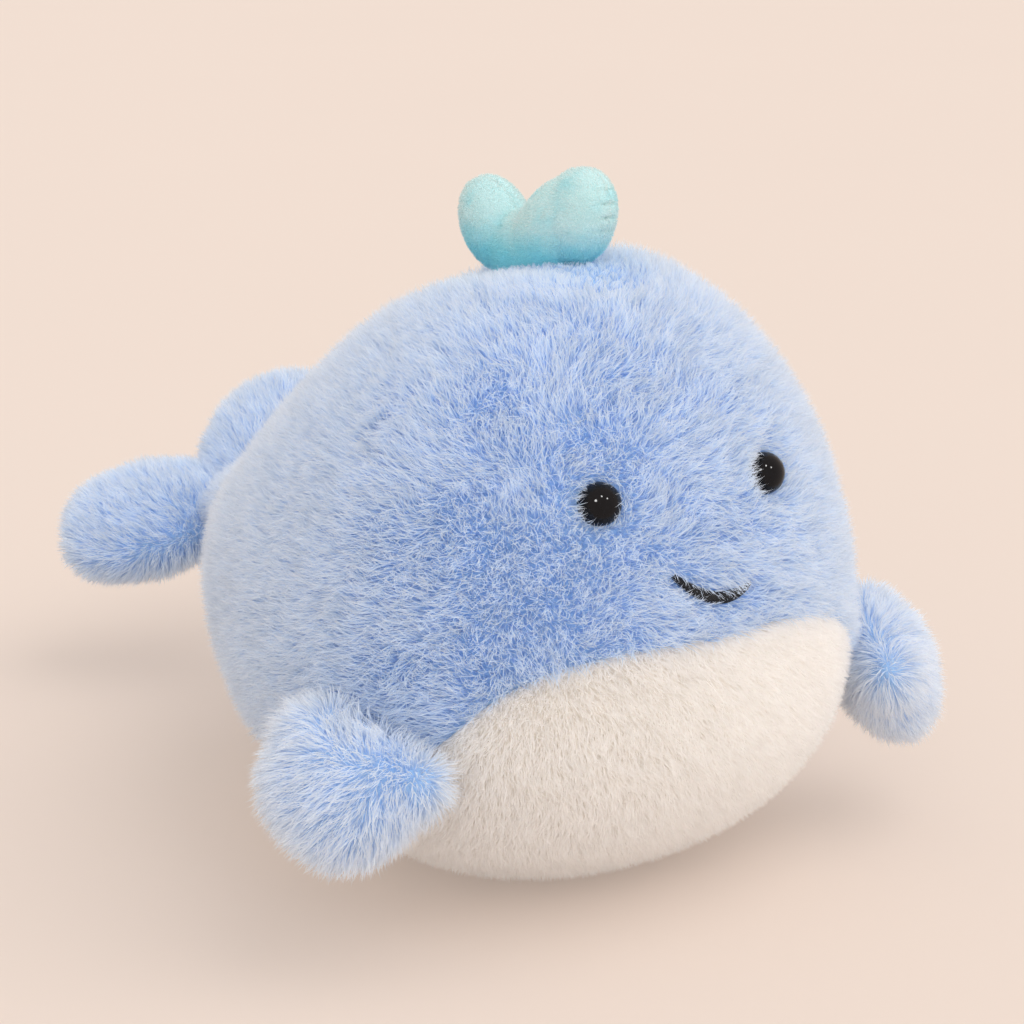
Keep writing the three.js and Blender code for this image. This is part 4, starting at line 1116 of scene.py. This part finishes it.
# %% Smile
STITCHES, STITCH_RINGS, STITCH_SIDES = 70, 9, 8
STITCH_HALF, THREAD_RADIUS, STITCH_SLANT = 1.45, 0.2, 0.35
black_thread = mottled("black_thread", (0.004, 0.004, 0.005), (0.018, 0.018, 0.021), (5200, 3),
                       (5200, 3), (0.35, 0.3), 0.00008, Specular_IOR_Level=0.22, Sheen_Weight=0.05,
                       Sheen_Roughness=0.4)
bow = np.linspace(-1, 1, STITCH_RINGS)
ends = np.sqrt(np.maximum(1 - (np.abs(bow) ** 6), 0.02))
turn = np.linspace(0, 2 * np.pi, STITCH_SIDES, endpoint=False)
stitch_points = []
for s in np.linspace(-1, 1, STITCHES):
    point, outward = (value[0] for value in smile_line(np.array([s])))
    behind, ahead = smile_line(np.array([max(s - 0.01, -1.0), min(s + 0.01, 1.0)]))[0]
    along = unit(ahead - behind)
    slant = unit(unit(np.cross(outward, along)) + along * STITCH_SLANT)
    half = STITCH_HALF * (1 - 0.52 * abs(s) ** 3)
    middle = (point - outward * (SMILE_SUNK + STITCH_SLANT))[None] + np.outer(bow * half, slant) \
        + np.outer((1 - bow ** 2) * 0.5 * half, outward)
    tube = middle[:, None, :] + THREAD_RADIUS * ends[:, None, None] * (
        np.cos(turn)[None, :, None] * along + np.sin(turn)[None, :, None] * outward)
    stitch_points.append(tube.reshape(-1, 3))
one = grid_faces(STITCH_RINGS, STITCH_SIDES, True)
faces = np.concatenate([one + k * STITCH_RINGS * STITCH_SIDES for k in range(STITCHES)])
smile = mesh_piece("smile_stitches", np.concatenate(stitch_points), faces, black_thread)
print("smile", STITCHES, "threads")

# %% [markdown]
# Stuffing is loose polyester fibre that swells until the cover stops it. So each lump of stuffing is
# the same form as its cover, drawn in by the cloth. The body's is also a little lumpy.

# %% Stuffing
CLOTH = 0.9  # mm, the thickness of the backing
FILL_DEPTH = CLOTH + 0.3
FILL_RINGS, FILL_ROUND = 90, 96
LUMP_MIDDLE = np.array([0.0, -20.0, 60.0])
turns = np.tile(once_round(FILL_ROUND), (FILL_RINGS, 1))
points, faces = welded(egg_sheet(np.linspace(0, 1, FILL_RINGS), turns, ROOT_DEPTH + FILL_DEPTH),
                       grid_faces(FILL_RINGS, FILL_ROUND, True))
x, y, z = points.T
lumps = 0.18 * np.sin(x * 0.5) * np.sin(y * 0.43 + 1) * np.sin(z * 0.47 + 2)
points = LUMP_MIDDLE + (points - LUMP_MIDDLE) * (1 - 0.004 + lumps[:, None] * 0.015)
stuffing = {"body": mesh_piece("body_stuffing", points, faces, stuffing_fibre)}
deeper = LIMB_DEPTH + FILL_DEPTH
for label, side in SIDES.items():
    stuffing[f"{label}_flipper"] = fused(
        f"{label}_flipper_stuffing", flipper_forms(side, deeper), 1.0, flipper_places[label],
        stuffing_fibre, **flipper_shaping[label])
stuffing["tail"] = fused("tail_stuffing", [tail_stock(deeper)], 1.2, tail_place, stuffing_fibre)
stuffing["flukes"] = fused("fluke_stuffing", fluke_lobes(deeper), 1.2, fluke_place, stuffing_fibre)
stuffing["spout"] = fused("spout_stuffing", heart_forms(SPOUT_DEPTH + FILL_DEPTH + 0.5), 0.8, spout_place,
                          stuffing_fibre)

# %% [markdown]
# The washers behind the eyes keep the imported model's shape. They are moulded nylon, so they get a
# slightly waxy, finely pitted plastic.

# %% Washers
nylon = mottled("moulded_nylon", (0.74, 0.74, 0.71), (0.84, 0.84, 0.82), (2200, 4), (2200, 4), (0.35, 0.2),
                0.00005, Subsurface_Weight=0.1)
for label in SIDES:
    washer = frame["nodes"][f"{label}_eye_washer"]
    washer.data.materials.clear()
    washer.data.materials.append(nylon)
print("washers dressed")

# %% [markdown]
# Now every piece is attached to the body or limb it moves with, and the imported solid that it stands
# for is hidden. The cloth covers are stuffed pieces, so they get a cloth thickness.

# %% Attach
covers = {
    "right_side": (body_covers["right_side"], "body", ["right_side_panel"]),
    "left_side": (body_covers["left_side"], "body", ["left_side_panel"]),
    "belly": (body_covers["belly"], "body", ["belly_panel"]),
    "right_flipper": (flipper_covers["right"], "right_flipper",
                      ["right_flipper_outer_panel", "right_flipper_inner_panel"]),
    "left_flipper": (flipper_covers["left"], "left_flipper",
                     ["left_flipper_outer_panel", "left_flipper_inner_panel"]),
    "tail": (tail_cover, "tail", ["tail_upper_panel", "tail_lower_panel"]),
    "fluke": (fluke_cover, "flukes", ["fluke_upper_panel", "fluke_lower_panel"]),
    "spout": (spout_cover, "spout", ["spout_left_panel", "spout_right_panel"]),
}
for label, (cover, body, panels) in covers.items():
    cloth = cover.modifiers.new("cloth thickness", "SOLIDIFY")
    cloth.thickness, cloth.offset = CLOTH * MM, -1
    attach(cover, body)
    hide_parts(*panels)
for name, pile in piles.items():
    label = name.split("_pile")[0]
    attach(pile, covers[label][1])
for body, filling in stuffing.items():
    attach(filling, body)
    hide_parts(("fluke" if body == "flukes" else body) + "_filling")
for piece, solid, slot in ((eye_pieces["right"], "right_eye", "black_gloss"),
                           (eye_pieces["left"], "left_eye", "black_gloss"),
                           (smile, "smile_embroidery", "black_thread")):
    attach(piece, "body")
    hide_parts(solid)
print("pieces", len(covers) + len(piles) + len(stuffing) + len(eye_pieces) + 1)

# %% [markdown]
# The studio: a warm pale floor that reaches past the picture's edge, an even pale sky, and one broad
# soft light from the upper right that throws the shadow to the left and back. The camera sees the
# sky in the backdrop's own colour and the floor drawn toward it, but the whale is lit by a white sky
# and by light off plain paper.

# %% Floor and sky
FLOOR, BACKDROP = (0.735, 0.614, 0.540), (0.887, 0.745, 0.650)
FLOOR_GLOW, SKY_STRENGTH = 0.32, 0.83  # how far the camera sees the floor drawn to the backdrop's colour
FLOOR_HALF = 8000.0  # mm


def seen_directly(tree, at):
    """One for a ray from the camera, and for one that a polished face or a lens sends on."""
    path = node(tree, "LightPath", at).outputs
    mirrored = math_node(tree, "MAXIMUM", (at[0] + 200, at[1]), path["Is Camera Ray"], path["Is Glossy Ray"])
    return math_node(tree, "MAXIMUM", (at[0] + 400, at[1]), mirrored, path["Is Transmission Ray"])


paper, tree, paper_shader = plain_shader("warm_paper", Specular_IOR_Level=0.0, Roughness=0.9)
darker, lighter = ((*(part * level for part in FLOOR), 1) for level in (0.99, 1.01))
grain = noise(tree, (-650, 100), 3.0, 2)
feed(tree, paper_shader, {"Base Color": blend(tree, (-300, 100), grain, darker, lighter)})
bright = node(tree, "Emission", (-100, -300), {"Color": (*BACKDROP, 1)}).outputs[0]
glow = math_node(tree, "MULTIPLY", (150, 400), seen_directly(tree, (-500, 500)), FLOOR_GLOW)
feed(tree, tree.nodes["Material Output"], {
    "Surface": mixed_shader(tree, (350, 200), glow, paper_shader.outputs[0], bright)})
corners = np.array([[-1, -1, 0], [1, -1, 0], [1, 1, 0], [-1, 1, 0]]) * FLOOR_HALF
mesh_piece("studio_floor", corners, np.array([[0, 1, 2, 3]]), paper, smooth=False)

world = bpy.data.worlds.new("studio_sky")
world.use_nodes = True
bpy.context.scene.world = world
tree = world.node_tree
sky = tree.nodes["Background"]
feed(tree, sky, {"Color": (0.99, 0.99, 0.99, 1), "Strength": SKY_STRENGTH})
plain = node(tree, "Background", (0, -200), {"Color": (*BACKDROP, 1)}).outputs[0]
shown = seen_directly(tree, (-450, 300))
feed(tree, tree.nodes["World Output"], {
    "Surface": mixed_shader(tree, (250, 0), shown, sky.outputs[0], plain)})
print("floor", paper.name, "and sky", world.name)

# %% [markdown]
# Sun lamps are far away, so their light is even over the whole toy, and a wide angle makes it as
# soft as a big window. The three glints are small far lamps that only a polished face can show.
# They put the bright points on the eyes and add no light to the plush.

# %% Lamps
def sun(name, strength, direction, spread, gloss=False, colour=(1.0, 0.99, 0.98)):
    """A far lamp. One that is for gloss shows in polished faces only, and the others light the rest."""
    lamp = bpy.data.lights.new(name, "SUN")
    lamp.energy, lamp.angle, lamp.color = strength, math.radians(spread), colour
    made = add(name, lamp)
    aim(made, direction)
    made.visible_glossy, made.visible_diffuse = gloss, not gloss
    print(name, strength)


sun("key_light", 1.10, (-0.50, 0.45, -0.95), 60, colour=(1.0, 0.985, 0.965))
sun("fill_light", 0.76, (0.40, 0.70, -0.36), 60)
sun("first_glint", 1.7, (0.719, 0.449, -0.530), 12, gloss=True)
sun("second_glint", 0.8, (0.182, 0.559, -0.809), 8, gloss=True)
sun("third_glint", 0.6, (-0.204, 0.761, -0.616), 7, gloss=True)
